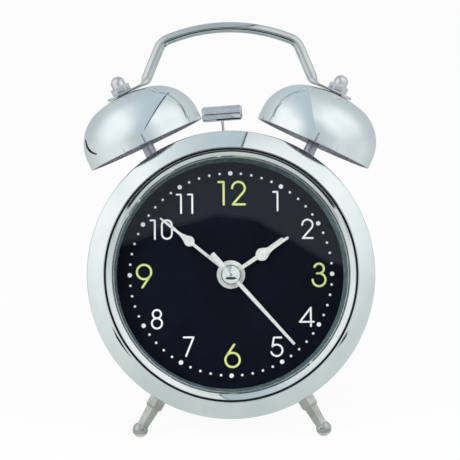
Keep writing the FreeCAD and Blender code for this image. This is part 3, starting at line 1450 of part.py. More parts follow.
def make_striker():
    """Bracket with its pins, the crank wheel and the motor that turns it."""
    make_hammer()
    bracket = num("bracket_front")
    back = bracket + num("bracket_thickness")
    top = num("housing_top")
    plate = box("bracket_plate", ("-bracket_half_width", "bracket_front", "housing_top"),
                ("bracket_half_width + motor_radius", "bracket_front + bracket_thickness",
                 "bracket_top"))
    flange = box("bracket_flange",
                 ("-bracket_half_width", "bracket_front - bracket_flange", "housing_top"),
                 ("bracket_half_width", "bracket_front + bracket_thickness",
                  "housing_top + bracket_thickness"))
    holes = [
        cylinder("motor_boss_hole", "motor_shaft + 0.8", "bracket_thickness * 3",
                 along_y(MOTOR[0], bracket - 1, MOTOR[1])),
        cylinder("pivot_pin_seat", "pivot_radius", "bracket_thickness * 3",
                 along_y(0, bracket - 1, num("hammer_pivot"))),
        cylinder("crank_arbor_seat", "pivot_radius + running_gap", "bracket_thickness * 3",
                 along_y(CRANK[0], bracket - 1, CRANK[1])),
    ]
    screws = []
    for i, side in enumerate(BRACKET_SCREWS):
        low = Vector(side, BRACKET_SCREW_DEPTH, top - num("housing_wall"))
        holes.append(cylinder(f"bracket_hole_{i}", "housing_screw", "bracket_thickness * 3",
                              Placement(Vector(side, BRACKET_SCREW_DEPTH, top - 1), Rotation())))
        shank = cylinder(f"bracket_shank_{i}", "housing_screw", "housing_wall + bracket_thickness",
                         Placement(low, Rotation()))
        head = cylinder(f"bracket_head_{i}", SCREW_HEAD, SCREW_HEAD_HEIGHT, Placement(
            Vector(side, BRACKET_SCREW_DEPTH, top + num("bracket_thickness")), Rotation()))
        screws.append(fuse(f"bracket_screw_{i}", [shank, head]))
    keep(cut("bracket_cut", fuse("bracket_whole", [plate, flange]), holes), "striker_bracket")
    free, pin_head = 0.3, 0.6
    lever_front = num("bell_depth - lever_thickness / 2") - free
    lever_rear = lever_front + num("lever_thickness") + 2 * free
    pivot, wide = (0, num("hammer_pivot")), num("pivot_radius") * 1.7
    pin = rod(num("pivot_radius"), lever_front, back, pivot)
    head = rod(wide, lever_front - pin_head, lever_front, pivot)
    spacer = rod(wide, lever_rear, bracket, pivot)
    keep(plain("pivot_pin_set", joined(pin, head, spacer)), "hammer_pivot_pin")
    module = num("crank_module")
    pin_at = (CRANK[0] + num("crank_throw"), CRANK[1])
    keep(plain("crank_set", joined(
        gear(TEETH["crank_wheel"], module, 0, *CRANK_LEVEL, CRANK),
        rod(num("pivot_radius"), CRANK_LEVEL[1] - BITE, back - PIVOT_END, CRANK),
        rod(num("crank_pin"), lever_front, CRANK_LEVEL[0] + BITE, pin_at),
    )), "crank_wheel")
    motor_phase = phased("crank_wheel", "motor_pinion", CRANK, MOTOR, 0)
    shaft, boss = num("motor_shaft"), num("motor_shaft") + 0.7
    keep(plain("motor_pinion_set", joined(
        rod(shaft, CRANK_LEVEL[0] - free, back + MOTOR_BORE - PIVOT_END, MOTOR),
        gear(TEETH["motor_pinion"], module, motor_phase, *CRANK_LEVEL, MOTOR),
    )), "motor_pinion")
    can = joined(
        rod(num("motor_radius"), back, back + num("motor_length"), MOTOR),
        rod(boss, bracket + free, back + BITE, MOTOR),
    )
    bore = rod(shaft + num("running_gap"), bracket, back + MOTOR_BORE, MOTOR)
    keep(plain("motor_can", can.cut(bore)), "striker_motor")
    return screws


# Back of the case
TRAY_HALF = "((cell_length + cell_nub) / 2 + tray_end_room)"
TRAY_TOP = "(cell_top + cell_radius + tray_gap)"
TRAY_LOW = "(cell_top - cell_pitch - cell_radius - tray_gap)"
TRAY_FRONT = "(cell_depth - cell_radius - tray_gap)"
DOOR_FRONT = f"({COVER_REAR} - door_thickness)"
SLOT_LONG = "((switch_travel + switch_button_length) / 2 + switch_gap)"
SLOT_HIGH = "(switch_button_width / 2 + switch_gap)"


def make_back_cover():
    """Moulded cover with a lip inside the drum, a heel, a battery tray and a slot for the switch."""
    disc = cylinder("cover_disc", "case_radius", "cover_thickness", along_y(0, num("case_rear"), 0))
    lip_outer = f"{CASE_INSIDE} - cover_lip_gap"
    lip = cylinder("cover_lip_disc", lip_outer, "cover_lip_depth + 0.5",
                   along_y(0, num("case_rear - cover_lip_depth"), 0))
    lip_inner = cylinder("cover_lip_hollow", f"{lip_outer} - cover_lip_wall", "cover_lip_depth",
                         along_y(0, num("case_rear - cover_lip_depth"), 0))
    rim = cut("cover_lip", lip, [lip_inner])
    heel = box("heel_block", ("-heel_half_width", "case_rear", "-(heel_drop + heel_depth)"),
               ("heel_half_width", "case_rear + heel_depth", "heel_depth * 2 - case_radius"))
    tray = box("tray_outer",
               (f"-({TRAY_HALF} + tray_wall)", f"{TRAY_FRONT} - tray_wall",
                f"{TRAY_LOW} - tray_wall"),
               (f"{TRAY_HALF} + tray_wall", "case_rear + 0.5", f"{TRAY_TOP} + tray_wall"))
    hollow = box("tray_inner", (f"-{TRAY_HALF}", TRAY_FRONT, TRAY_LOW),
                 (TRAY_HALF, f"{COVER_REAR} + 1", TRAY_TOP))
    opening = box("door_opening",
                  (f"-({TRAY_HALF} + door_rim)", DOOR_FRONT, f"{TRAY_LOW} - door_rim"),
                  (f"{TRAY_HALF} + door_rim", f"{COVER_REAR} + 5", f"{TRAY_TOP} + door_rim"))
    slot = box("switch_slot", (f"-{SLOT_LONG}", "case_rear - 1", f"switch_up - {SLOT_HIGH}"),
               (SLOT_LONG, f"{COVER_REAR} + 1", f"switch_up + {SLOT_HIGH}"))
    holes = [hollow, opening, slot, ground_block("heel_ground")]
    screws = []
    for i, (x, z) in enumerate(post_screw_places()):
        holes.append(cylinder(f"cover_hole_{i}", "screw_radius + stud_gap", "cover_thickness * 2",
                              along_y(x, num("case_rear") - 1, z)))
        head = cylinder(f"back_screw_head_{i}", "screw_head", "screw_head_height",
                        along_y(x, num(COVER_REAR), z))
        shank = cylinder(f"back_screw_shank_{i}", "screw_radius",
                         "screw_depth + cover_thickness - 0.7",
                         along_y(x, num("case_rear - screw_depth") + 1, z))
        cross = cross_slots(f"back_screw_cross_{i}", x, num(COVER_REAR + " + screw_head_height"), z)
        screws.append(cut(f"back_screw_{i}", fuse(f"back_screw_whole_{i}", [head, shank]), cross))
    for name, at in SET_SHAFTS.items():
        holes.append(cylinder(f"cover_hole_{name}", "set_shaft + 0.5", "cover_thickness * 2",
                              along_y(at[0], num("case_rear") - 1, at[1])))
    whole = fuse("back_cover_whole", [disc, rim, heel, tray])
    keep(cut("back_cover_cut", whole, holes), "back_cover")
    keep(group("back_screw_set", screws), "back_screws")


def cross_slots(name, x, rear, z):
    """Two crossed slots in a screw's head."""
    slots = []
    span, thin, deep = 3.0, 0.6, 0.7
    for i, (wide, tall) in enumerate(((span, thin), (thin, span))):
        slot = doc.addObject("Part::Box", f"{name}_{i}")
        slot.Length, slot.Width, slot.Height = wide, deep * 2, tall
        slot.Placement.Base = Vector(x - wide / 2, rear - deep, z - tall / 2)
        slots.append(slot)
    return slots


def make_battery():
    """Two cells, their contacts and the door over them."""
    cells, plates, springs = [], [], []
    profile = [
        ("cell_radius", "0"),
        ("cell_radius", "cell_length"),
        ("cell_nub_radius", "cell_length"),
        ("cell_nub_radius", "cell_length + cell_nub"),
        ("0", "cell_length + cell_nub"),
        ("0", "0"),
    ]
    thickness = num("contact_thickness")
    end = num(TRAY_HALF)
    depth, half = num("cell_depth"), num("contact_half")
    for i, side in enumerate((1, -1)):
        up = num("cell_top") - i * num("cell_pitch")
        start = end - thickness - num("cell_length + cell_nub")
        place = turned(Y_AXIS, 90 * side, Vector(side * start, depth, up))
        cells.append(revolved(f"cell_{i}", "XZ_Plane", profile, place))
        low, high = sorted((side * end, side * (end - thickness)))
        plates.append(box(f"contact_plate_{i}", (low, "cell_depth - contact_half", up - half),
                          (high, "cell_depth + contact_half", up + half)))
        springs.append(leaf(f"contact_leaf_{i}", -side * end, side * start, depth, up))
    keep(group("cells", cells), "batteries")
    keep(group("contacts", plates + springs), "battery_contacts")
    door = box("door_plate",
               (f"door_gap - {TRAY_HALF} - door_rim", DOOR_FRONT,
                f"{TRAY_LOW} - door_rim + door_gap"),
               (f"{TRAY_HALF} + door_rim - door_gap", COVER_REAR,
                f"{TRAY_TOP} + door_rim - door_gap"))
    ribs = []
    rib, rib_half, first = 0.8, 6.0, 3.0
    for i in range(4):
        up = f"{TRAY_TOP} - {first + i * 2 * rib}"
        ribs.append(box(f"door_rib_{i}", (-rib_half, COVER_REAR + " - 0.1", up),
                        (rib_half, COVER_REAR + " + 0.5", f"{up} + {rib}")))
    keep(fuse("door_whole", [door] + ribs), "battery_door")


def leaf(name, wall, cell, depth, up):
    """A sprung strip that bows from the tray's end to the cell."""
    thickness, width = num("contact_thickness"), num("contact_half")
    half = width * 0.9

    def bow(peak, span):
        ends = [Vector(wall, depth, up + s * span) for s in (-1, 1)]
        return Part.Arc(ends[0], Vector(peak, depth, up), ends[1]).toShape()

    outer = bow(cell, half)
    inner = bow(cell - math.copysign(thickness, cell - wall), half - thickness)
    closing = [
        Part.LineSegment(outer.Vertexes[k].Point, inner.Vertexes[k].Point).toShape() for k in (0, 1)
    ]
    face = Part.Face(Part.Wire(Part.__sortEdges__([outer, inner] + closing)))
    shape = face.extrude(Vector(0, width, 0))
    shape.translate(Vector(0, -width / 2, 0))
    return plain(name, shape)


def make_switch():
    """Sliding switch for the alarm."""
    wall, floor, proud = 1.2, 1.0, 1.6
    front = "case_rear - switch_body_depth"
    outer = box("switch_outer",
                (f"-{SLOT_LONG} - {wall}", front, f"switch_up - {SLOT_HIGH} - {wall}"),
                (f"{SLOT_LONG} + {wall}", "case_rear", f"switch_up + {SLOT_HIGH} + {wall}"))
    inner = box("switch_inner",
                (f"-{SLOT_LONG}", f"{front} + {floor}", f"switch_up - {SLOT_HIGH}"),
                (SLOT_LONG, "case_rear + 1", f"switch_up + {SLOT_HIGH}"))
    keep(cut("switch_body_cut", outer, [inner]), "switch_body")
    left = f"(switch_gap - {SLOT_LONG})"
    keep(box("switch_block", (left, f"{front} + {floor} + switch_gap / 3",
                              "switch_up - switch_button_width / 2"),
             (f"{left} + switch_button_length", f"{COVER_REAR} + {proud}",
              "switch_up + switch_button_width / 2")), "alarm_switch")


# Assembly
def stand_clock():
    """Lean every sub-part back until it stands, with the origin under the middle of its box."""
    level = GROUND.inverse()
    boxes = []
    for obj in nodes.values():
        shape = obj.Shape.copy()
        shape.Placement = level * shape.Placement
        boxes.append(shape.optimalBoundingBox(False))
    middle = (min(b.YMin for b in boxes) + max(b.YMax for b in boxes)) / 2
    place = Placement(Vector(0, -middle, 0), Rotation()) * level
    for obj in nodes.values():
        obj.Placement = place * obj.Placement
    return place


def check_document():
    """Stop before anything is written if an object failed or a sub-part isn't sound."""
    for obj in doc.Objects:
        bad = {"Invalid", "Error"} & set(obj.State)
        if bad:
            raise RuntimeError(f"{obj.Name} ({obj.Label}) is {', '.join(bad)}")
    for label, obj in nodes.items():
        shape = obj.Shape
        if shape.isNull() or not shape.isValid() or not shape.Solids:
            raise RuntimeError(f"{label} has no sound solid")


def main():
    make_case_drum()
    make_front()
    make_print()
    make_hands()
    keep(group("drum_nuts", make_bells() + make_feet()), "inner_nuts")
    make_handle()
    make_train()
    make_electrics()
    keep(group("small_screws", make_housing() + make_striker()), "movement_screws")
    make_back_cover()
    make_battery()
    make_switch()
    doc.recompute()
    place = stand_clock()
    doc.recompute()
    check_document()
    os.makedirs("parts", exist_ok=True)
    for label, obj in nodes.items():
        obj.Shape.exportStep(f"parts/{label}.step")
    print(len(nodes), "sub-parts; lean", round(LEAN, 4), "degrees; origin moved by",
          [round(v, 5) for v in place.Base])


main()
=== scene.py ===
"""Twin-bell alarm clock: the looks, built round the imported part.

Every shape is drawn in millimetres in the clock's own frame: X to the right, Y from the front of
the case to the back, Z up the dial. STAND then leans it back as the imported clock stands, in metres.
"""
import json
import logging
import math
from dataclasses import dataclass
from enum import Enum
from typing import Optional, Sequence, Union

import bmesh
import bpy
from mathutils import Matrix, Vector


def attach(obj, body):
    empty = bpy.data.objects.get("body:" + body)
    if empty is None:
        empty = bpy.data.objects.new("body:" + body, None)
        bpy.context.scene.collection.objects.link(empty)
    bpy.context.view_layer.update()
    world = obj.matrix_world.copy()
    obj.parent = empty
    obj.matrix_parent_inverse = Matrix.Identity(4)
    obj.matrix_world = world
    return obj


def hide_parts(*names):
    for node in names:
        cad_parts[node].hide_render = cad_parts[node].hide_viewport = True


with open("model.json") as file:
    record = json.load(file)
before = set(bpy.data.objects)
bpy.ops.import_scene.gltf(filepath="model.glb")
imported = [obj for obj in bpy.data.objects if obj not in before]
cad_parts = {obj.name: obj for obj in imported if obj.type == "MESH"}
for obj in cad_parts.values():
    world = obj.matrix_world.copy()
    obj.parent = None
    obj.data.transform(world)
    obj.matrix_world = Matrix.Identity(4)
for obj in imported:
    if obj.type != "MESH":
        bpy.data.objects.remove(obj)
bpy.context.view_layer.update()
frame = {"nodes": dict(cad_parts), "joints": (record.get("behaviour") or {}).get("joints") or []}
LOG = logging.getLogger("alarm_clock")
MM = 0.001

Point = Sequence[float]
Colour = tuple[float, float, float, float]
Setting = Union[float, Sequence[float], bpy.types.NodeSocket]


def joint(name: str) -> dict:
    """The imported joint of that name."""
    return next(j for j in frame["joints"] if j["name"] == name)


def standing() -> Matrix:
    """Turns the clock's own frame, in millimetres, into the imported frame, in metres.

    Returns:
        The placing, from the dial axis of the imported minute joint.
    """
    spin = joint("minute_spin")
    axis, pivot_depth = Vector(spin["axis"]), 22.3
    lean = math.atan2(-axis.z, axis.y)
    origin = Vector(spin["pos_m"]) - axis * pivot_depth * MM
    return Matrix.Translation(origin) @ Matrix.Rotation(-lean, 4, "X") @ Matrix.Scale(MM, 4)


STAND = standing()
UPRIGHT = Matrix.Rotation(math.radians(90), 4, "X")


def at(x: float, y: float, z: float) -> Matrix:
    """A shift to a place in the clock's frame."""
    return Matrix.Translation((x, y, z))


def about(axis: str, degrees: float) -> Matrix:
    """A turn about one of the axes."""
    return Matrix.Rotation(math.radians(degrees), 4, axis)


# Materials
def linear(colour: str) -> Colour:
    """An sRGB hex colour in linear light.

    Args:
        colour: six hex digits after a hash sign.

    Returns:
        Red, green, blue and an alpha of 1.
    """
    parts = [int(colour[i:i + 2], 16) / 255 for i in (1, 3, 5)]
    red, green, blue = [c / 12.92 if c <= 0.04045 else ((c + 0.055) / 1.055) ** 2.4 for c in parts]
    return red, green, blue, 1.0


WHITE = linear("#FFFFFF")


def add_node(tree: bpy.types.NodeTree, kind: str, options: Optional[dict] = None,
             inputs: Optional[dict[Union[str, int], Setting]] = None,
             stops: Sequence[tuple[float, Colour]] = ()) -> bpy.types.Node:
    """Adds a node with its settings and links.

    Args:
        tree: the node tree that gets it.
        kind: the node's type.
        options: its own properties.
        inputs: values or sockets for its inputs, by name or number.
        stops: the places of a colour ramp's two ends, with their linear colours.

    Returns:
        The new node.
    """
    node = tree.nodes.new(kind)
    for key, value in (options or {}).items():
        setattr(node, key, value)
    for key, value in (inputs or {}).items():
        if isinstance(value, bpy.types.NodeSocket):
            tree.links.new(value, node.inputs[key])
        else:
            node.inputs[key].default_value = value
    for number, (place, colour) in enumerate(stops):
        node.color_ramp.elements[number].position = place
        node.color_ramp.elements[number].color = colour
    return node


def bare_material(name: str) -> tuple[bpy.types.Material, bpy.types.NodeTree]:
    """Makes a material with no nodes.

    Args:
        name: the material's name.

    Returns:
        The material and its empty tree.
    """
    made = bpy.data.materials.new(name)
    made.use_nodes = True
    made.node_tree.nodes.clear()
    return made, made.node_tree


# Octaves of the three noises, the part of a noise where most of its values lie, and the stretch of
# it over which one shade turns into the other.
PATCH_DETAIL, GLOSS_DETAIL, RELIEF_DETAIL = 3.0, 4.0, 2.0
NOISE_MIDDLE = (0.3, 0.7)
TINT_STOPS = (0.35, 0.65)


@dataclass(frozen=True)
class Finish:
    """A finish with a slightly uneven colour, an uneven gloss and a fine relief.

    The colour wanders between two shades in patches, the roughness between two values, and the
    relief has its own patch and depth. All sizes are in millimetres on the real surface.
    """

    name: str
    colour: str
    other: str
    patch_mm: float
    gloss: tuple[float, float]
    gloss_mm: float
    relief_mm: float
    relief_depth: float
    metallic: float = 0.0
    sockets: tuple[tuple[str, Setting], ...] = ()
    stretch: tuple[float, float, float] = (1, 1, 1)

    def material(self) -> bpy.types.Material:
        """Makes the finish's material, once.

        Returns:
            The material.
        """
        known = bpy.data.materials.get(self.name)
        if known:
            return known
        made = bpy.data.materials.new(self.name)
        made.use_nodes = True
        tree = made.node_tree
        shader = tree.nodes["Principled BSDF"]
        shader.inputs["Metallic"].default_value = self.metallic
        for key, value in self.sockets:
            shader.inputs[key].default_value = value
        place = add_node(tree, "ShaderNodeTexCoord")
        mapped = add_node(tree, "ShaderNodeMapping", inputs={
            "Vector": place.outputs["Object"], "Scale": self.stretch})
        patches, haze, height = [
            add_node(tree, "ShaderNodeTexNoise", inputs={
                "Vector": mapped.outputs["Vector"], "Scale": 1 / (size * MM),
                "Detail": detail}).outputs["Fac"]
            for size, detail in ((self.patch_mm, PATCH_DETAIL), (self.gloss_mm, GLOSS_DETAIL),
                                 (self.relief_mm, RELIEF_DETAIL))]
        tint = add_node(tree, "ShaderNodeValToRGB", inputs={"Fac": patches}, stops=tuple(
            zip(TINT_STOPS, (linear(self.colour), linear(self.other)))))
        gloss = add_node(tree, "ShaderNodeMapRange", inputs={
            "Value": haze, "From Min": NOISE_MIDDLE[0], "From Max": NOISE_MIDDLE[1],
            "To Min": self.gloss[0], "To Max": self.gloss[1]})
        relief = add_node(tree, "ShaderNodeBump", inputs={
            "Height": height, "Distance": self.relief_depth * MM, "Strength": 1.0})
        tree.links.new(tint.outputs["Color"], shader.inputs["Base Color"])
        tree.links.new(gloss.outputs["Result"], shader.inputs["Roughness"])
        tree.links.new(relief.outputs["Normal"], shader.inputs["Normal"])
        return made


# Decorative chrome plate over polished steel: a cold, almost white mirror. Its polishing waves,
# some millimetres long, make the thin reflected lines waver, and a haze of handling dulls patches.
CHROME = Finish("decorative_chrome", "#EFF7F6", "#E6EFEF", 16, (0.03, 0.075), 9, 7, 0.0012, 1.0)
# The bells are spun and buffed before plating, so their waves are longer and a little deeper.
BELL_CHROME = Finish("buffed_bell_chrome", "#F0F8FA", "#E6EFF2", 14, (0.025, 0.07), 8, 8, 0.003,
                     1.0)
# The inside of a bell is plated but never buffed: a dull, faintly violet grey, more like paint
# than like a mirror, with a fine uneven grain.
BELL_INSIDE = Finish("unbuffed_bell_inside", "#CBC9D2", "#B5B3BE", 6, (0.2, 0.34), 4, 1.2, 0.012,
                     0.25)
# The lens ring is a thin pressing with the same plate, a shade darker for its lacquer.
RING_CHROME = Finish("pressed_ring_chrome", "#E6EEED", "#DCE5E5", 12, (0.04, 0.09), 7, 6, 0.0012,
                     1.0)
# Turned steel with a thin bright nickel: nearly neutral, and a little softer than chrome.
NICKEL = Finish("bright_nickel", "#E7E7EA", "#D7D7DB", 5, (0.05, 0.13), 3, 1.5, 0.004, 1.0)
# Legs of die-cast zinc under a barrel-plated satin nickel: a duller, faintly green grey.
LEG_PLATE = Finish("barrel_plated_legs", "#C3C7C3", "#ACB0AD", 4, (0.1, 0.2), 3, 1.2, 0.006, 1.0)
# The handle's rod is plated over drawn steel that isn't polished: greyer and a little duller than
# the case.
ROD_CHROME = Finish("bent_rod_chrome", "#DCE1E0", "#CDD3D2", 10, (0.04, 0.09), 6, 5, 0.0012, 1.0)
# The bells' posts are plain turned steel: darker than the plated metals, and faintly violet.
TURNED_STEEL = Finish("turned_steel", "#B3B0BD", "#9C99A7", 4, (0.14, 0.26), 3, 1.0, 0.006, 1.0)
# Zinc-plated steel: bluish grey with a fine crystal haze.
ZINC = Finish("zinc_plate", "#B4BAC0", "#9AA1A8", 3, (0.25, 0.42), 2, 0.8, 0.008, 1.0)
# Black ABS from a spark-eroded mould: fine pits half a millimetre apart and a low satin sheen.
BLACK_ABS = Finish("black_abs", "#17181A", "#1E1F22", 12, (0.38, 0.5), 5, 0.5, 0.02)
# White acetal of the gears: waxy and slightly yellow.
ACETAL = Finish("white_acetal", "#E9E7DC", "#DEDBCE", 6, (0.32, 0.45), 3, 0.6, 0.008)
# Enamelled copper wire in layers a third of a millimetre apart, a warm gloss between fine grooves.
COPPER = Finish("enamelled_copper", "#B4622D", "#98501F", 1.2, (0.2, 0.34), 1, 0.35, 0.05, 1.0,
                stretch=(3, 1, 1))
# Glass-epoxy board under green solder mask: glossy, with the weave of the cloth just showing.
BOARD = Finish("solder_mask", "#1F6B45", "#185839", 2, (0.25, 0.4), 2, 0.7, 0.02)
# Printed shrink film round the cells: plain dark grey-blue, smooth and glossy.
JACKET = Finish("shrink_film", "#3C4654", "#343D49", 10, (0.18, 0.3), 6, 3, 0.01)
# ABS wall round the dial, satin, taking the light at its edge. Its teal grey is painted reflection:
# it stands in for the light that the sloping wall mirrors.
SURROUND = Finish("teal_painted_reflection_abs", "#7C969A", "#718B8F", 8, (0.2, 0.32), 5, 0.8, 0.006)
# Screen-printed aluminium dial: dead flat black ink with a grain of under half a millimetre.
DIAL_INK = Finish("flat_black_ink", "#090E19", "#0C121E", 18, (0.5, 0.65), 4, 0.4, 0.004,
                  sockets=(("Specular IOR Level", 0.1),))
# Two passes of yellow-green screen ink: slightly thin in places, so the black greys it.
GREEN_INK = Finish("yellow_green_ink", "#E6EF9A", "#DCE58F", 1.5, (0.45, 0.6), 1, 0.4, 0.01)
# The same ink in white, dense enough to hide the black under it.
WHITE_INK = Finish("white_ink", "#FFFFFF", "#F7F9F9", 1.5, (0.45, 0.6), 1, 0.4, 0.01)
# Hands stamped from aluminium, with a satin, nearly white lacquer that holds a little silver.
HAND_LACQUER = Finish("pale_silver_lacquer", "#EFF4EF", "#E2E8E3", 3, (0.25, 0.38), 2, 0.5, 0.006,
                      0.2)
# Painted shade: the rounded chrome faces either side of the seam between the bead and the ring are
# painted near black, for the dark line that the seam shows.
SEAM_SHADE = Finish("painted_seam_shade", "#15181B", "#1D2124", 3, (0.3, 0.45), 2, 0.6, 0.01)
# Float glass, flat and clean: only its gloss wanders, as a faint film of dust does.
GLASS = Finish("float_glass", "#FFFFFF", "#FBFEFD", 30, (0.0, 0.012), 20, 30, 0.0002, 0.0,
               (("Transmission Weight", 1.0), ("IOR", 1.52)))

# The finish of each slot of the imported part, for the nodes that still show.
SLOT_FINISHES = {
    "chrome_case": CHROME, "chrome_ring": RING_CHROME, "chrome_bell": BELL_CHROME,
    "chrome_trim": CHROME, "clear_glass": GLASS, "grey_surround": SURROUND,
    "dial_black": DIAL_INK, "green_print": GREEN_INK, "white_print": WHITE_INK,
    "hand_white": HAND_LACQUER, "cap_chrome": CHROME, "black_plastic": BLACK_ABS,
    "white_plastic": ACETAL, "zinc_steel": ZINC, "copper_coil": COPPER, "board_green": BOARD,
    "cell_jacket": JACKET,
}


# Shapes
DOUBLE = 1e-4  # vertices of a solid nearer than this, in millimetres, are one
SAME_POINT = 1e-5  # and those of an outline
RIM_STEPS = 192  # faces round the case, the ring and the bells


def only(geometry: Sequence, kind: type) -> list:
    """The elements of one kind."""
    return [element for element in geometry if isinstance(element, kind)]


class Solid:
    """A mesh in the making. Outlines are drawn in its XY plane and turned about its Y axis."""

    def __init__(self) -> None:
        """Starts an empty mesh."""
        self.mesh = bmesh.new()

    def outline(self, points: Sequence[Point], arc_step: float = 4.0,
                closed: bool = True) -> "Solid":
        """Grows a line of edges from one vertex.

        Args:
            points: (u, v), or (u, v, r) where an arc of radius r leads to the point: anticlockwise
                for a positive radius, clockwise for a negative.
            arc_step: degrees of arc for each edge.
            closed: whether the line returns to its start.

        Returns:
            The solid itself.
        """
        tip = bmesh.ops.create_vert(self.mesh, co=(points[0][0], points[0][1], 0))["vert"][0]
        start = tip
        rest = list(points[1:])
        if closed and len(points[0]) == 3:
            rest.append(points[0])
        for point in rest:
            if len(point) == 3:
                tip = self._arc(tip, Vector((point[0], point[1], 0)), point[2], arc_step)
            else:
                tip = bmesh.ops.extrude_vert_indiv(self.mesh, verts=[tip])["verts"][0]
                tip.co = (point[0], point[1], 0)
        if closed and len(points[0]) == 2:
            bmesh.ops.contextual_create(self.mesh, geom=[tip, start])
        bmesh.ops.remove_doubles(self.mesh, verts=self.mesh.verts, dist=SAME_POINT)
        return self

    def _arc(self, tip: bmesh.types.BMVert, end: Vector, radius: float,
             arc_step: float) -> bmesh.types.BMVert:
        """Spins the tip round to the end along the shorter arc of that radius.

        Args:
            tip: the last vertex of the line.
            end: where the arc ends.
            radius: its radius, negative for a clockwise arc.
            arc_step: degrees for each edge.

        Returns:
            The vertex at the end of the arc.
        """
        chord = end - tip.co
        half = chord.length / 2
        side = Vector((-chord.y, chord.x, 0)).normalized()
        rise = math.sqrt(max(radius * radius - half * half, 0.0))
        centre = (tip.co + end) / 2 + side * math.copysign(rise, radius)
        turn = 2 * math.asin(min(half / abs(radius), 1.0))
        steps = max(2, math.ceil(math.degrees(turn) / arc_step))
        last = self.spun([tip], centre, math.copysign(turn, radius), steps)
        return only(last, bmesh.types.BMVert)[0]

    def spun(self, geometry: list, hub: Point, angle: float, steps: int,
             axis: Point = (0, 0, 1), merge: bool = False) -> list:
        """Spins part of the mesh about a hub.

        Args:
            geometry: what is spun.
            hub: the middle of the turn.
            angle: of the turn, in radians.
            steps: faces along the turn.
            axis: the direction of the turn's axis.
            merge: whether a full turn closes on its start.

        Returns:
            What the turn ends in.
        """
        return bmesh.ops.spin(self.mesh, geom=geometry, cent=hub, axis=axis, angle=angle,
                              steps=steps, use_merge=merge, use_normal_flip=False,
                              use_duplicate=False)["geom_last"]

    def everything(self) -> list:
        """The mesh's vertices, edges and faces."""
        return self.mesh.verts[:] + self.mesh.edges[:] + self.mesh.faces[:]

    def turned(self, steps: int = 96) -> "Solid":
        """Turns the outline once round the Y axis and closes it.

        Args:
            steps: faces round the turn.

        Returns:
            The solid itself.
        """
        self.spun(self.everything(), (0, 0, 0), math.tau, steps, axis=(0, 1, 0), merge=True)
        return self.cleaned()

    def cleaned(self, gap: float = DOUBLE) -> "Solid":
        """Merges doubles, drops what has no area and turns the faces outwards.

        Args:
            gap: how near doubles lie.

        Returns:
            The solid itself.
        """
        bmesh.ops.remove_doubles(self.mesh, verts=self.mesh.verts, dist=gap)
        bmesh.ops.dissolve_degenerate(self.mesh, dist=gap, edges=self.mesh.edges)
        bmesh.ops.recalc_face_normals(self.mesh, faces=self.mesh.faces)
        return self

    def raised(self, height: float) -> "Solid":
        """Fills the closed outline and raises it along Z.

        Args:
            height: how far it is raised.

        Returns:
            The solid itself.
        """
        face = bmesh.ops.contextual_create(self.mesh, geom=self.mesh.edges[:])["faces"]
        grown = bmesh.ops.extrude_face_region(self.mesh, geom=face)["geom"]
        bmesh.ops.translate(self.mesh, verts=only(grown, bmesh.types.BMVert), vec=(0, 0, height))
        return self.cleaned()

    def softened(self, width: float, segments: int = 2, sharper_than: float = 35.0) -> "Solid":
        """Rounds every edge that is sharper than an angle.

        Args:
            width: how far the rounding reaches from the edge.
            segments: faces across the rounding.
            sharper_than: degrees between the faces of an edge.

        Returns:
            The solid itself.
        """
        limit = math.radians(sharper_than)
        edges = [e for e in self.mesh.edges if e.is_manifold and e.calc_face_angle(0) > limit]
        bmesh.ops.bevel(self.mesh, geom=edges, offset=width, offset_type="OFFSET",
                        segments=segments, profile=0.5, affect="EDGES", clamp_overlap=True,
                        material=-1)
        return self

    def mirrored(self) -> "Solid":
        """Adds what is there so far once more, on the other side of the upright.

        Returns:
            The solid itself.
        """
        bmesh.ops.mirror(self.mesh, geom=self.everything(), matrix=Matrix.Identity(4),
                         merge_dist=DOUBLE, axis="X")
        return self

    def placed(self, place: Matrix) -> "Solid":
        """Moves everything that is there so far."""
        bmesh.ops.transform(self.mesh, matrix=place, verts=self.mesh.verts)
        return self

    def painted(self, index: int) -> "Solid":
        """Gives every face a material number.

        Args:
            index: the number.

        Returns:
            The solid itself.
        """
        for face in self.mesh.faces:
            face.material_index = index
        return self

    def joined(self, *others: "Solid") -> "Solid":
        """Takes in the shells of other solids.

        Args:
            others: the solids, which are used up.

        Returns:
            The solid itself.
        """
        for other in others:
            data = bpy.data.meshes.new("joining")
            other.mesh.to_mesh(data)
            self.mesh.from_mesh(data)
            bpy.data.meshes.remove(data)
            other.mesh.free()
        return self


def bar(radius: float, low: float, high: float, soften: float = 0.1, steps: int = 48) -> Solid:
    """A round bar along Y with softened ends.

    Args:
        radius: its radius.
        low: where it starts.
        high: where it ends.
        soften: radius of its rounded edges.
        steps: faces round it.

    Returns:
        The bar.
    """
    return Solid().outline([
        (0, low), (radius - soften, low), (radius, low + soften, soften),
        (radius, high - soften), (radius - soften, high, soften), (0, high),
    ], arc_step=30).turned(steps)


def prism(low_radius: float, high_radius: float, low: float, high: float, soften: float,
          sides: int = 6) -> Solid:
    """A bar along Y with flat sides, a corner of it towards +X.

    Args:
        low_radius: to a corner at its start.
        high_radius: to a corner at its end.
        low: where it starts.
        high: where it ends.
        soften: rounding of its edges.
        sides: how many flat sides it has.

    Returns:
        The bar.
    """
    solid = Solid()
    bmesh.ops.create_cone(solid.mesh, cap_ends=True, segments=sides, radius1=low_radius,
                          radius2=high_radius, depth=high - low)
    first = next(iter(solid.mesh.verts)).co
    solid.placed(about("Z", -math.degrees(math.atan2(first.y, first.x))))
    solid.placed(at(0, (low + high) / 2, 0) @ about("X", -90))
    return solid.cleaned().softened(soften, segments=3, sharper_than=20)


@dataclass(frozen=True)
class Role:
    """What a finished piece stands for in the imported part."""

    body: str
    slot: str
    nodes: tuple[str, ...]


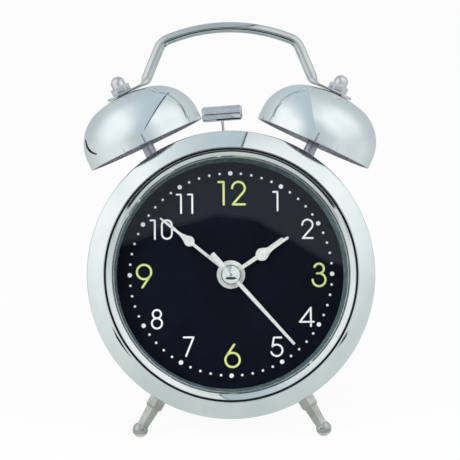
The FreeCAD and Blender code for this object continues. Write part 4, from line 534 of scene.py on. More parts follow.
def in_scene(name: str, data: bpy.types.ID) -> bpy.types.Object:
    """Puts an object into the scene.

    Args:
        name: its name.
        data: its mesh, camera or lamp.

    Returns:
        The object.
    """
    made = bpy.data.objects.new(name, data)
    bpy.context.scene.collection.objects.link(made)
    return made


def finished(name: str, solid: Solid, role: Role, finishes: Sequence[Finish],
             crease: float = 32.0) -> bpy.types.Object:
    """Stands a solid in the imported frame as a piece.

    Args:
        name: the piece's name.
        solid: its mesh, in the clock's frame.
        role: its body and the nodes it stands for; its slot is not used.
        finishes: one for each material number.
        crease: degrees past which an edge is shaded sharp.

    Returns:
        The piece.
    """
    solid.placed(STAND)
    data = bpy.data.meshes.new(name)
    solid.mesh.to_mesh(data)
    solid.mesh.free()
    data.shade_smooth()
    data.set_sharp_from_angle(angle=math.radians(crease))
    piece = in_scene(name, data)
    for finish in finishes:
        data.materials.append(finish.material())
    flats = piece.modifiers.new("flats_stay_flat", "WEIGHTED_NORMAL")
    flats.keep_sharp = True
    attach(piece, role.body)
    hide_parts(*role.nodes)
    return piece


class Side(Enum):
    """Left or right of the dial's upright."""

    LEFT = -1
    RIGHT = 1


Pieces = list[bpy.types.Object]


@dataclass
class Case:
    """Drum with its rolled bead, the ring that holds the glass, the glass and the wall behind."""

    radius: float = 56.0
    wall: float = 0.8
    rear: float = 48.4
    bead_outer: float = 57.0
    bead_inner: float = 49.9
    bead_lip: float = 8.0
    bead_corner: float = 0.6
    bead_crown: float = 24.0
    bead_roll: float = 1.3
    bead_side: float = 4.8
    bead_shoulder: tuple[float, float] = (56.696, 3.964)
    bead_inward: tuple[float, float] = (-0.77, 0.64)
    slot_side: float = 5.0
    slot_front: float = 22.5
    slot_rear: float = 27.5
    ring_outer: float = 49.8
    ring_front: float = 1.7
    ring_step: float = 47.1
    ring_opening: float = 46.3
    ring_flange: float = 54.2
    glass_radius: float = 48.8
    glass_front: float = 5.6
    glass_rear: float = 7.2
    wall_front: float = 46.85
    wall_rear: float = 45.15
    wall_outer: float = 48.6
    wall_shift: tuple[float, float, float] = (-0.3, 0.0, -0.4)
    dial_front: float = 16.0
    seam: float = 0.1
    # share of the rounding beside the seam that is painted as seam shade
    seam_share: float = 0.45
    ring_round: float = 0.6
    ring_dip: float = 1.2
    ring_sweep: float = 6.0
    ring_drop: float = 0.3
    ring_wall: float = 0.9
    ring_flange_wall: float = 0.8
    ring_soft: float = 0.15
    ring_opening_front: float = 4.4

    def build(self) -> Pieces:
        """The four pieces round the dial."""
        return [self.drum(), self.ring(), self.glass(), self.surround()]

    def drum(self) -> bpy.types.Object:
        """Sheet metal drum with a rolled bead and the slot that the hammer swings in.

        Returns:
            The drum.
        """
        wall, corner, crown, roll = self.wall, self.bead_corner, self.bead_crown, self.bead_roll
        inside = self.radius - wall
        meet = self.bead_side + math.sqrt(roll ** 2 - (roll - self.bead_outer + self.radius) ** 2)
        shoulder, depth = self.bead_shoulder
        shell = Solid().outline([
            (inside, self.rear), (self.radius, self.rear), (self.radius, meet),
            (shoulder, depth, -roll), (self.bead_inner + corner, 0, -crown),
            (self.bead_inner, corner, -corner), (self.bead_inner, self.bead_lip),
            (self.bead_inner + wall, self.bead_lip), (self.bead_inner + wall, corner + wall / 2),
            (shoulder + wall * self.bead_inward[0], depth + wall * self.bead_inward[1],
             crown - wall), (inside, meet - wall / 4),
        ], arc_step=2.5).turned(RIM_STEPS)
        self._open_slot(shell)
        # Painted shade: the rounded faces beside the seam are painted near black.
        self._sealed(shell, self.bead_inner - self.seam,
                     self.bead_inner + corner * self.seam_share)
        return finished("case_drum_shell", shell, Role("clock", "chrome_case", ("case_drum",)),
                        [CHROME, SEAM_SHADE])

    def _sealed(self, solid: Solid, inner: float, outer: float) -> None:
        """Gives the faces beside the seam, between two radii, the second finish: the painted seam
        shade.

        Args:
            solid: the piece beside the seam.
            inner: the smaller radius.
            outer: the larger radius.
        """
        for face in solid.mesh.faces:
            middle = face.calc_center_median()
            if inner < math.hypot(middle.x, middle.z) < outer and middle.y < self.bead_lip:
                face.material_index = 1

    def _open_slot(self, shell: Solid) -> None:
        """Cuts the hammer's slot through the top of the drum and closes its four edges.

        Args:
            shell: the drum.
        """
        mesh = shell.mesh

        def faces_at(reach: float, low: float, high: float) -> list:
            """Finds faces on top of the drum.

            Args:
                reach: how far they may lie to either side.
                low: the nearest depth.
                high: the farthest depth.

            Returns:
                The faces.
            """
            middles = [(face, face.calc_center_median()) for face in mesh.faces]
            return [face for face, middle in middles if middle.z > self.radius / 2
                    and abs(middle.x) < reach and low < middle.y < high]

        cuts = [((side * self.slot_side, 0, 0), (1, 0, 0)) for side in (-1, 1)]
        cuts += [((0, depth, 0), (0, 1, 0)) for depth in (self.slot_front, self.slot_rear)]
        for place, normal in cuts:
            top = faces_at(self.slot_side * 2, self.bead_lip, math.inf)
            geometry = top + list({e for f in top for e in f.edges}) + list(
                {v for f in top for v in f.verts})
            bmesh.ops.bisect_plane(mesh, geom=geometry, plane_co=place, plane_no=normal)
        bmesh.ops.delete(mesh, geom=faces_at(self.slot_side, self.slot_front, self.slot_rear),
                         context="FACES")
        bmesh.ops.bridge_loops(mesh, edges=[e for e in mesh.edges if e.is_boundary])
        bmesh.ops.recalc_face_normals(mesh, faces=mesh.faces)

    def ring(self) -> bpy.types.Object:
        """Bright ring with a rounded lip, a swept face and a step down to the glass.

        Returns:
            The ring.
        """
        round_off, soft = self.ring_round, self.ring_soft
        inner = self.ring_outer - self.ring_wall
        dip = self.ring_front + self.ring_dip
        flange_rear = self.bead_lip + self.ring_flange_wall
        solid = Solid().outline([
            (self.ring_outer, self.ring_front + round_off),
            (self.ring_outer - round_off, self.ring_front, -round_off),
            (self.ring_step, dip, -self.ring_sweep),
            (self.ring_step, dip + self.ring_drop),
            (self.ring_opening + soft, self.ring_opening_front - soft),
            (self.ring_opening, self.ring_opening_front + soft, soft * 1.5),
            (self.ring_opening, self.glass_front),
            (inner, self.glass_front),
            (inner, flange_rear),
            (self.ring_flange, flange_rear),
            (self.ring_flange, self.bead_lip),
            (self.ring_outer, self.bead_lip),
        ], arc_step=6).turned(RIM_STEPS)
        # Painted shade: the rounded faces beside the seam are painted near black.
        self._sealed(solid, self.ring_outer - round_off * self.seam_share, self.bead_inner)
        return finished("lens_ring_pressing", solid, Role("clock", "chrome_ring", ("lens_ring",)),
                        [RING_CHROME, SEAM_SHADE])

    def glass(self) -> bpy.types.Object:
        """Flat glass with a ground edge.

        Returns:
            The glass, which casts no shadow on the dial.
        """
        solid = bar(self.glass_radius, self.glass_front, self.glass_rear, soften=0.2, steps=128)
        pane = finished("front_glass", solid, Role("clock", "clear_glass", ("lens",)), [GLASS])
        pane.visible_shadow = False
        return pane

    def surround(self) -> bpy.types.Object:
        """Wall that slopes from the glass to the dial.

        Returns:
            The wall, its rear edge a little off centre.
        """
        solid = Solid().outline([
            (self.wall_front, self.glass_rear), (self.wall_rear, self.dial_front),
            (self.wall_outer, self.dial_front), (self.wall_outer, self.glass_rear),
        ]).turned(160)
        rear_edge = [v for v in solid.mesh.verts
                     if math.hypot(v.co.x, v.co.z) < self.wall_rear + 0.1
                     and v.co.y > self.glass_rear + 1]
        bmesh.ops.translate(solid.mesh, verts=rear_edge, vec=self.wall_shift)
        # Its teal grey is painted reflection of the light that the sloping wall mirrors.
        return finished("dial_wall", solid, Role("clock", "grey_surround", ("dial_surround",)),
                        [SURROUND])


# Each digit's width and strokes, in heights of the stroke's middle line: lines as (start, end),
# bows as (middle, radius, start angle, sweep) in degrees, anticlockwise.
DIGITS: dict[str, tuple] = {
    "0": (0.54, [((0, 0.27), (0, 0.73)), ((0.54, 0.27), (0.54, 0.73)),
                 ((0.27, 0.73), 0.27, 0, 180), ((0.27, 0.27), 0.27, 180, 180)]),
    "1": (0.23, [((0, 1), (0.23, 1)), ((0.23, 1), (0.23, 0))]),
    "2": (0.56, [((0.28, 0.72), 0.28, -40, 220), ((0.4945, 0.54), (0.02, 0)),
                 ((0.02, 0), (0.56, 0))]),
    "3": (0.56, [((0.28, 0.785), 0.215, -90, 250), ((0.19, 0.571), (0.28, 0.571)),
                 ((0.28, 0.286), 0.286, 180, 270)]),
    "4": (0.76, [((0.60, 0), (0.60, 1)), ((0.60, 1), (0, 0.235)), ((0, 0.235), (0.76, 0.235))]),
    "5": (0.60, [((0.14, 1), (0.54, 1)), ((0.14, 1), (0.06, 0.53)),
                 ((0.29, 0.31), 0.31, 198, 300)]),
    "6": (0.636, [((0.318, 0.318), 0.318, 0, 360), ((0.395, 1), (0.0545, 0.496))]),
    "7": (0.53, [((0, 1), (0.53, 1)), ((0.53, 1), (0.12, 0))]),
    "8": (0.55, [((0.275, 0.275), 0.275, 0, 360), ((0.275, 0.775), 0.225, 0, 360)]),
}
# The middle of each number, to the right of and above the middle of the dial.
NUMBER_PLACES: dict[int, Point] = {
    12: (0.5, 32.4), 1: (17.9, 29.1), 2: (30.6, 18.0), 3: (35.1, -0.4), 4: (30.1, -17.1),
    5: (18.1, -28.9), 6: (0.4, -32.4), 7: (-17.0, -28.6), 8: (-29.6, -17.6), 9: (-34.6, -0.4),
    10: (-27.65, 18.1), 11: (-18.3, 28.3),
}


@dataclass
class Print:
    """Numbers and dots, a thin raised film on the dial's face.

    large and small give a numeral's height and its stroke's width. The marks are drawn flat, their
    film along Z, and then laid on the dial.
    """

    dial_front: float = 16.0
    film: float = 0.08
    dot_ring: float = 40.3
    hour_dot: float = 1.78
    minute_dot: float = 0.98
    large: tuple[float, float] = (9.8, 0.84)
    small: tuple[float, float] = (8.1, 0.73)
    space: float = 0.38

    def build(self) -> Pieces:
        """Green and white numerals, and the ring of dots.

        Returns:
            The three prints.
        """
        green, white, dots = Solid(), Solid(), Solid()
        for number, (x, z) in NUMBER_PLACES.items():
            inked, size = (green, self.large) if number % 3 == 0 else (white, self.small)
            inked.joined(self.number(str(number), *size).placed(at(x, z, 0)))
        for minute in range(60):
            radius = (self.hour_dot if minute % 5 == 0 else self.minute_dot) / 2
            dots.joined(self.round_mark(0, radius, 24).placed(
                about("Z", minute * 6) @ at(0, self.dot_ring, 0)))
        return [
            self.printed("green_numbers", green, "green_print", "numerals_green", GREEN_INK),
            self.printed("white_numbers", white, "white_print", "numerals_white", WHITE_INK),
            self.printed("dots", dots, "white_print", "minute_dots", WHITE_INK),
        ]

    def printed(self, name: str, solid: Solid, slot: str, node: str,
                ink: Finish) -> bpy.types.Object:
        """Lays a film that is drawn flat onto the dial's face.

        Args:
            name: the piece's name.
            solid: the film.
            slot: the record's slot.
            node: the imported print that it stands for.
            ink: its finish.

        Returns:
            The piece.
        """
        solid.placed(at(0, self.dial_front, 0) @ UPRIGHT)
        return finished(name, solid, Role("clock", slot, (node,)), [ink])

    def number(self, text: str, height: float, width: float) -> Solid:
        """A number whose middle is at the origin.

        Args:
            text: its digits.
            height: over all.
            width: of a stroke.

        Returns:
            The number.
        """
        whole, across, tall = Solid(), 0.0, height - width
        for digit in text:
            whole.joined(self.digit(digit, tall, width).placed(at(across, 0, 0)))
            across += (DIGITS["6" if digit == "9" else digit][0] + self.space) * tall
        return whole.placed(at(-(across - self.space * tall) / 2, -tall / 2, 0))

    def digit(self, digit: str, tall: float, width: float) -> Solid:
        """A digit with its lower left corner at the origin. A nine is a six upside down.

        Args:
            digit: which one.
            tall: height of the stroke's middle line.
            width: of a stroke.

        Returns:
            The digit.
        """
        if digit == "9":
            across = DIGITS["6"][0] * tall
            return self.digit("6", tall, width).placed(at(across, tall, 0) @ about("Z", 180))
        whole = Solid()
        for stroke in DIGITS[digit][1]:
            if len(stroke) == 2:
                whole.joined(self.line(width, *(Vector(end) * tall for end in stroke)))
            else:
                middle, radius, start, sweep = stroke
                whole.joined(self.bow(width, radius * tall, start, sweep).placed(
                    at(middle[0] * tall, middle[1] * tall, 0)))
        return whole

    def line(self, width: float, start: Vector, end: Vector) -> Solid:
        """A straight stroke with round ends.

        Args:
            width: of the stroke.
            start: middle of one end.
            end: middle of the other end.

        Returns:
            The stroke.
        """
        run, half = end - start, width / 2
        solid = Solid().outline([
            (0, -half), (run.length, -half), (run.length, half, half), (0, half), (0, -half, half),
        ], arc_step=20, closed=False).raised(self.film)
        turn = about("Z", math.degrees(math.atan2(run.y, run.x)))
        return solid.placed(at(start.x, start.y, 0) @ turn)

    def bow(self, width: float, radius: float, start: float, sweep: float) -> Solid:
        """A round stroke with round ends about the origin, or a whole ring.

        Args:
            width: of the stroke.
            radius: of its middle line.
            start: the angle where it starts, in degrees.
            sweep: how far it turns anticlockwise, in degrees.

        Returns:
            The stroke.
        """
        half = width / 2
        inner, outer = radius - half, radius + half
        if sweep == 360:
            return self.round_mark(inner, outer, 60)

        def spot(reach: float, turn: float) -> Point:
            """A point so far out and so many degrees past the start."""
            angle = math.radians(start + turn)
            return (reach * math.cos(angle), reach * math.sin(angle))

        return Solid().outline([
            spot(outer, 0), (*spot(outer, sweep / 2), outer), (*spot(outer, sweep), outer),
            (*spot(inner, sweep), half), (*spot(inner, sweep / 2), -inner),
            (*spot(inner, 0), -inner), (*spot(outer, 0), half),
        ], arc_step=8, closed=False).raised(self.film)

    def round_mark(self, inner: float, outer: float, steps: int) -> Solid:
        """A ring or a dot of film, about Z.

        Args:
            inner: inner radius, 0 for a dot.
            outer: outer radius.
            steps: faces round it.

        Returns:
            The mark.
        """
        return Solid().outline([
            (inner, 0), (outer, 0), (outer, self.film), (inner, self.film),
        ]).turned(steps).placed(UPRIGHT)


@dataclass
class Hands:
    """Alarm, hour, minute and second hands, and the cap over them."""

    thickness: float = 0.3
    edge: float = 0.09
    tip: float = 0.7
    alarm_front: float = 14.6
    hour_front: float = 13.3
    minute_front: float = 12.0
    second_front: float = 10.7
    alarm_angle: float = 55.2
    hour_angle: float = 57.4
    minute_angle: float = 309.0
    second_angle: float = 138.0
    cap_radius: float = 3.9
    cap_height: float = 1.7
    cap_rim_share: float = 0.3
    cap_pit: float = 0.35
    cap_fillet: float = 0.5

    def build(self) -> Pieces:
        """The four hands and the cap.

        Returns:
            The five pieces, from the dial outwards.
        """
        return [
            self.stamped("alarm_pointer", self.pointer(boss=5.65, width=1.0, length=25.3),
                         self.alarm_angle, self.alarm_front,
                         Role("alarm", "hand_white", ("alarm_hand",))),
            self.stamped("hour_spade", self.spade(boss=3.7, arm=1.5, width=5.1, start=12.2,
                                                  end=20.5, length=27.3, tip=self.tip * 1.5),
                         self.hour_angle, self.hour_front,
                         Role("hour", "hand_white", ("hour_hand",))),
            self.stamped("minute_spade", self.spade(boss=3.3, arm=1.25, width=4.1, start=19.2,
                                                    end=29.2, length=36.1, tip=self.tip),
                         self.minute_angle, self.minute_front,
                         Role("minute", "hand_white", ("minute_hand",))),
            self.stamped("second_pointer", self.sweep_hand(), self.second_angle,
                         self.second_front, Role("seconds", "hand_white", ("second_hand",))),
            self.cap(),
        ]

    def stamped(self, name: str, half: Sequence[Point], angle: float, front: float,
                role: Role) -> bpy.types.Object:
        """A hand stamped from sheet: the right half of its outline is mirrored and raised.

        Args:
            name: the piece's name.
            half: the right half of its outline, pointing up the dial.
            angle: degrees clockwise from twelve.
            front: where its face lies.
            role: its body, slot and node.

        Returns:
            The hand.
        """
        solid = Solid().outline(half, arc_step=8, closed=False)
        bmesh.ops.remove_doubles(solid.mirrored().mesh, verts=solid.mesh.verts, dist=DOUBLE)
        solid.raised(self.thickness).softened(self.edge, sharper_than=50)
        solid.placed(at(0, front + self.thickness, 0) @ UPRIGHT @ about("Z", -angle))
        return finished(name, solid, role, [HAND_LACQUER])

    def boss(self, radius: float, arm: float) -> list[Point]:
        """Half of the boss, from straight below up to the edge of an arm."""
        return [(0, -radius), (radius, 0, radius),
                (arm / 2, math.sqrt(radius ** 2 - (arm / 2) ** 2), radius)]

    def pointer(self, boss: float, width: float, length: float) -> list[Point]:
        """Half outline of a plain narrow hand."""
        return self.boss(boss, width) + [
            (width / 2, length - self.tip), (self.tip / 4, length), (0, length)]

    def spade(self, boss: float, arm: float, width: float, start: float, end: float,
              length: float, tip: float) -> list[Point]:
        """Half outline of a hand whose arm swells into a spade and runs out to a thin tip.

        Args:
            boss: radius round the arbor.
            arm: width of the arm.
            width: of the spade.
            start: where the spade starts.
            end: where it ends.
            length: of the hand.
            tip: width of its tip.

        Returns:
            The outline.
        """
        half = width / 2
        back = start + half * 0.95
        return self.boss(boss, arm) + [
            (arm / 2, start), (half, back, half * 1.1),
            (half * 0.86, back + half * 0.55, half * 0.9),
            (arm / 2 * 1.05, end, -(end - back) * 1.35),
            (tip / 2, length - tip / 2), (0, length, tip / 2),
        ]

    def sweep_hand(self) -> list[Point]:
        """Half outline of the second hand, from its tail to its tip.

        Returns:
            The outline.
        """
        boss, tail, tail_width, width, tip, length = 2.6, 11.3, 2.0, 1.7, 1.1, 37.4
        low = math.sqrt(boss ** 2 - (tail_width / 2) ** 2)
        high = math.sqrt(boss ** 2 - (width / 2) ** 2)
        return [
            (0, -tail), (tail_width / 2 - 0.2, -tail), (tail_width / 2, 0.2 - tail, 0.2),
            (tail_width / 2, -low), (boss, 0, boss), (width / 2, high, boss),
            (tip / 2, length - 0.2), (tip / 4, length, 0.3), (0, length),
        ]

    def cap(self) -> bpy.types.Object:
        """Domed cap with a small dimple in its middle.

        Returns:
            The cap.
        """
        low, radius, height = self.second_front, self.cap_radius, self.cap_height
        pit, fillet = self.cap_pit, self.cap_fillet
        rim = height * self.cap_rim_share
        crown = (radius ** 2 + (height - rim) ** 2) / (2 * (height - rim))
        top = low - height
        edge = top + crown - math.sqrt(crown ** 2 - pit ** 2)
        brow = top + crown - math.sqrt(crown ** 2 - (radius - fillet) ** 2)
        solid = Solid().outline([
            (0, low), (0, top + pit * 0.8), (pit, edge, pit * 1.3),
            (radius - fillet, brow, crown), (radius, brow + fillet * 1.4, fillet * 1.6),
            (radius, low),
        ], arc_step=3).turned(96)
        return finished("hand_cap", solid, Role("seconds", "cap_chrome", ("centre_cap",)),
                        [CHROME])


@dataclass
class Bells:
    """Two bells with their posts, studs and cap nuts, and the handle that they carry."""

    depth: float = 25.0
    side: float = 33.3
    up: float = 52.2
    tilt: float = 25.0
    mouth: float = 24.4
    height: float = 22.0
    skirt: float = 4.0
    crown: float = 44.0
    wall: float = 0.9
    lip: float = 0.25
    bore: float = 1.6
    post: float = 2.45
    post_sunk: float = 0.3
    drum: float = 56.0
    nut_flats: float = 7.0
    nut_height: float = 2.8
    nut_edge: float = 0.3
    dome: float = 2.85
    dome_top: float = 7.0
    dome_sunk: float = 0.1
    dome_flare: float = 0.15
    dome_flare_rise: float = 0.2
    dome_flare_radius: float = 0.4
    strip: float = 0.95
    strip_width: float = 9.0
    strip_inner: float = 9.6
    strip_outer: float = 6.6
    rod: float = 2.1
    handle_top: float = 99.1
    handle_crown: float = 66.0
    handle_corner: float = 6.5
    handle_lean: float = 22.5
    handle_bend: float = 6.0
    press_steps: int = 10
    press_thin: float = 0.46
    press_broad: float = 0.48

    def build(self) -> Pieces:
        """Both bells and what holds them."""
        pieces = [self.bell(side) for side in Side]
        return pieces + [self.posts(), self.cap_nuts(), self.handle()]

    def place(self, side: Side) -> Matrix:
        """Local Y runs up a bell's axis from the middle of its mouth."""
        shift = at(side.value * self.side, self.depth, self.up)
        return shift @ about("Y", side.value * self.tilt) @ UPRIGHT

    def bell(self, side: Side) -> bpy.types.Object:
        """A spun bell: a short straight skirt, a round shoulder and a flatter crown.

        Args:
            side: which bell.

        Returns:
            The bell, bright outside and dull inside.
        """
        mouth, crown, wall, lip = self.mouth, self.crown, self.wall, self.lip
        base = self.height - crown
        drop = self.skirt - base
        shoulder = (crown ** 2 - mouth ** 2 - drop ** 2) / (2 * (crown - mouth))
        reach = (mouth - shoulder, drop)
        outer = crown / (crown - shoulder)
        inner = (crown - wall) / (crown - shoulder)

        def crown_height(radius: float) -> float:
            """How high a crown of that radius is at the bore."""
            return base + math.sqrt(radius ** 2 - self.bore ** 2)

        outside = Solid().outline([
            (mouth - wall / 2, 0), (mouth - lip, 0), (mouth, lip, lip), (mouth, self.skirt),
            (reach[0] * outer, base + reach[1] * outer, shoulder),
            (self.bore, crown_height(crown), crown),
        ], arc_step=2, closed=False).turned(RIM_STEPS).painted(0)
        inside = Solid().outline([
            (self.bore, crown_height(crown)), (self.bore, crown_height(crown - wall)),
            (reach[0] * inner, base + reach[1] * inner, -(crown - wall)),
            (mouth - wall, self.skirt, wall - shoulder), (mouth - wall, lip),
            (mouth - wall + lip, 0, lip), (mouth - wall / 2, 0),
        ], arc_step=3, closed=False).turned(RIM_STEPS).painted(1)
        solid = outside.joined(inside).cleaned().placed(self.place(side))
        word = side.name.lower()
        return finished(f"{word}_bell_shell", solid, Role("clock", "chrome_bell",
                        (f"bell_{word}",)), [BELL_CHROME, BELL_INSIDE])

    def posts(self) -> bpy.types.Object:
        """The tubes that the bells stand on, from the drum up to the inside of each crown.

        Returns:
            Both tubes.
        """
        base = self.height - self.crown
        high = base + math.sqrt((self.crown - self.wall) ** 2 - self.post ** 2)
        tilt = math.radians(self.tilt)
        along = self.side * math.sin(tilt) + self.up * math.cos(tilt)
        away = math.hypot(self.side, self.up)
        low = math.sqrt(along ** 2 - away ** 2 + self.drum ** 2) - along
        solid = Solid()
        for side in Side:
            post = bar(self.post, low - self.post_sunk, high, soften=0.05)
            solid.joined(post.placed(self.place(side)))
        return finished("bell_pillars", solid, Role("clock", "chrome_trim", ("bell_posts",)),
                        [TURNED_STEEL])

    def cap_nuts(self) -> bpy.types.Object:
        """Acorn nuts on the handle's strips.

        Returns:
            Both nuts.
        """
        solid = Solid()
        corner = self.nut_flats / math.sqrt(3)
        base = self.height + self.strip
        for side in Side:
            hexagon = prism(corner, corner, base, base + self.nut_height, self.nut_edge)
            face = base + self.nut_height
            shoulder = base + self.dome_top - self.dome
            dome = Solid().outline([
                (0, face - self.dome_sunk), (self.dome + self.dome_flare, face - self.dome_sunk),
                (self.dome, face + self.dome_flare_rise, -self.dome_flare_radius),
                (self.dome, shoulder), (0, shoulder + self.dome, self.dome),
            ], arc_step=6).turned(48)
            solid.joined(hexagon.placed(self.place(side)), dome.placed(self.place(side)))
        return finished("acorn_nuts", solid, Role("clock", "chrome_trim", ("cap_nuts",)), [NICKEL])

    def handle(self) -> bpy.types.Object:
        """A rod bent over the top, its ends pressed flat and clamped under the cap nuts.

        Returns:
            The handle, its right half mirrored.
        """
        lean, tilt = math.radians(self.handle_lean), math.radians(self.tilt)
        centre = Vector((0, self.handle_top - self.handle_crown, 0))
        down = Vector((math.sin(lean), -math.cos(lean), 0))
        inward = Vector((-math.cos(lean), -math.sin(lean), 0))
        across = Vector((math.cos(tilt), -math.sin(tilt), 0))
        upward = Vector((math.sin(tilt), math.cos(tilt), 0))
        seat = Vector((self.side, self.up, 0)) + upward * (self.height + self.strip / 2)
        knee = seat - across * self.strip_inner
        start = knee + inward * self.handle_corner - centre
        lead = start.dot(down)
        reach = self.handle_crown - self.handle_corner
        hub = centre + start - down * (lead + math.sqrt(lead ** 2 - start.dot(start) + reach ** 2))
        crown_turn = math.atan2((hub - centre).x, (hub - centre).y)
        corner_turn = math.pi / 2 - lean - crown_turn
        touch_leg = hub - inward * self.handle_corner
        turn = math.pi / 2 - tilt - lean
        trim = self.handle_bend * math.tan(turn / 2)
        leg_end = knee - down * trim

        solid = Solid()
        bmesh.ops.create_circle(solid.mesh, cap_ends=False, segments=48, radius=self.rod)
        solid.placed(at(0, self.handle_top, 0) @ about("Y", 90))
        ring = solid.spun(solid.everything(), centre, -crown_turn, 40)
        ring = solid.spun(ring, hub, -corner_turn, 16)
        for _ in range(2):
            ring = self._pushed(solid, ring, (leg_end - touch_leg) / 2)
        self._flattened(solid, ring, leg_end - inward * self.handle_bend, leg_end, turn)
        eye = self._eye(trim).placed(at(*seat) @ about("Z", -self.tilt) @ about("X", -90)
                                     @ at(0, 0, -self.strip / 2))
        solid.joined(eye).mirrored().cleaned().placed(at(0, self.depth, 0) @ UPRIGHT)
        return finished("carrying_handle", solid, Role("clock", "chrome_trim", ("handle",)),
                        [ROD_CHROME])

    def _pushed(self, solid: Solid, ring: list, run: Vector) -> list:
        """Extrudes the last ring along a straight run.

        Args:
            solid: the rod so far.
            ring: its last ring.
            run: how far and in which direction.

        Returns:
            The ring at its end.
        """
        edges = only(ring, bmesh.types.BMEdge)
        grown = bmesh.ops.extrude_edge_only(solid.mesh, edges=edges)["geom"]
        verts = only(grown, bmesh.types.BMVert)
        bmesh.ops.translate(solid.mesh, verts=verts, vec=run)
        return verts + [edge for edge in only(grown, bmesh.types.BMEdge)
                        if set(edge.verts) <= set(verts)]

    def _flattened(self, solid: Solid, ring: list, hub: Vector, start: Vector,
                   turn: float) -> None:
        """Bends the rod onto the bell while it is pressed from round to flat, and caps it.

        Args:
            solid: the rod so far.
            ring: its last ring.
            hub: the middle of the bend.
            start: the rod's middle where the bend starts.
            turn: of the bend, in radians.
        """
        steps = self.press_steps
        thin = self.strip * self.press_thin / self.rod
        broad = self.strip_width * self.press_broad / self.rod
        before = (1.0, 1.0)
        for i in range(1, steps + 1):
            share = i / steps
            ease = share * share * (3 - 2 * share)
            now = (1 + (thin - 1) * ease, 1 + (broad - 1) * ease)
            ring = solid.spun(ring, hub, turn / steps, 1)
            arm = Matrix.Rotation(turn * share, 3, "Z") @ (start - hub)
            local = at(*(hub + arm)) @ Matrix.Rotation(math.atan2(arm.y, arm.x), 4, "Z")
            bmesh.ops.scale(solid.mesh, vec=(now[0] / before[0], 1, now[1] / before[1]),
                            space=local.inverted(), verts=only(ring, bmesh.types.BMVert))
            before = now
        bmesh.ops.contextual_create(solid.mesh, geom=only(ring, bmesh.types.BMEdge))

    def _eye(self, trim: float) -> Solid:
        """The flat eye of the handle, round at its outer end.

        Args:
            trim: how far the bend reaches into the strip.

        Returns:
            The eye, drawn flat.
        """
        half = self.strip_width / 2
        low, high = trim - self.strip_inner - 1, self.strip_outer - half
        return Solid().outline([
            (low, -half), (high, -half), (self.strip_outer, 0, half), (high, half, half),
            (low, half),
        ], arc_step=6).raised(self.strip).softened(0.2, sharper_than=50)


@dataclass
class Feet:
    """Two splayed legs: a hexagon collar, a tapered hexagon leg and a ball."""

    depth: float = 12.5
    angle: float = 30.7
    collar: float = 3.8
    collar_low: float = 55.0
    collar_end: float = 61.4
    chamfer: float = 0.7
    leg_top: float = 3.0
    leg_bottom: float = 2.45
    leg_sunk: float = 0.1
    corner_turn: float = 30.0
    ball_centre: float = 71.4
    ball: float = 3.07

    def build(self) -> Pieces:
        """Both legs."""
        return [self.foot(side) for side in Side]

    def foot(self, side: Side) -> bpy.types.Object:
        """A leg, its ball cut flat where it stands.

        Args:
            side: which leg.

        Returns:
            The leg.
        """
        collar = prism(self.collar, self.collar, self.collar_low,
                       self.collar_end - self.chamfer, soften=0.12)
        cone = prism(self.collar, self.collar - self.chamfer, self.collar_end - self.chamfer,
                     self.collar_end, soften=0.05)
        leg = prism(self.leg_top, self.leg_bottom, self.collar_end - self.leg_sunk,
                    self.ball_centre, soften=0.2)
        ball = Solid()
        bmesh.ops.create_uvsphere(ball.mesh, u_segments=48, v_segments=24, radius=self.ball)
        ball.placed(at(0, self.ball_centre, 0) @ about("X", 90))
        solid = collar.joined(cone, leg).placed(about("Y", self.corner_turn)).joined(ball)
        place = at(0, self.depth, 0) @ about("Y", 180 - side.value * self.angle) @ UPRIGHT
        solid.placed(place)
        self._stood(solid)
        word = side.name.lower()
        return finished(f"{word}_leg", solid, Role("clock", "chrome_trim", (f"foot_{word}",)),
                        [LEG_PLATE])

    def _stood(self, solid: Solid) -> None:
        """Cuts the ball flat on the ground and closes it.

        Args:
            solid: the leg, in its place.
        """
        ground = STAND.inverted() @ Vector((0, 0, 0))
        down = (STAND.inverted().to_3x3() @ Vector((0, 0, -1))).normalized()
        mesh = solid.mesh
        bmesh.ops.bisect_plane(mesh, geom=solid.everything(), plane_co=ground, plane_no=down,
                               clear_outer=True)
        bmesh.ops.holes_fill(mesh, edges=[e for e in mesh.edges if e.is_boundary], sides=0)


@dataclass
class Hammer:
    """The head between the bells and the wire that carries it."""

    depth: float = 25.0
    pivot: float = 18.0
    lean: float = 3.8
    reach: float = 46.6
    half_length: float = 8.1
    radius: float = 3.05
    chamfer: float = 0.8
    wire: float = 0.5
    wire_low: float = 21.0
    wire_sunk: float = 0.4

    def build(self) -> Pieces:
        """Head and wire.

        Returns:
            The two pieces.
        """
        place = at(0, self.depth, self.pivot) @ about("Y", -self.lean) @ UPRIGHT
        length, radius, soft = self.half_length, self.radius, 0.15
        head = Solid().outline([
            (0, -length), (radius - self.chamfer - soft, -length),
            (radius - self.chamfer + soft * 0.7, 0.3 * soft - length, soft * 2),
            (radius - soft * 0.7, self.chamfer - length - soft),
            (radius, self.chamfer - length + soft, soft * 2),
            (radius, length - self.chamfer - soft),
            (radius - soft * 0.7, length - self.chamfer + soft, soft * 2),
            (radius - self.chamfer + soft * 0.7, length - 0.3 * soft),
            (radius - self.chamfer - soft, length, soft * 2), (0, length),
        ], arc_step=12).turned(64)
        head.placed(place @ at(0, self.reach, 0) @ about("Z", 90))
        wire = bar(self.wire, self.wire_low, self.reach - radius + self.wire_sunk, soften=0.05,
                   steps=24).placed(place)
        return [
            finished("striking_head", head, Role("hammer", "chrome_trim", ("hammer_head",)),
                     [NICKEL]),
            finished("striking_wire", wire, Role("hammer", "zinc_steel", ("hammer_rod",)),
                     [NICKEL]),
        ]


def box(left: float, right: float, low: float, high: float) -> tuple[tuple[float, float], ...]:
    """The corners of a rectangle."""
    return (left, low), (right, low), (right, high), (left, high)


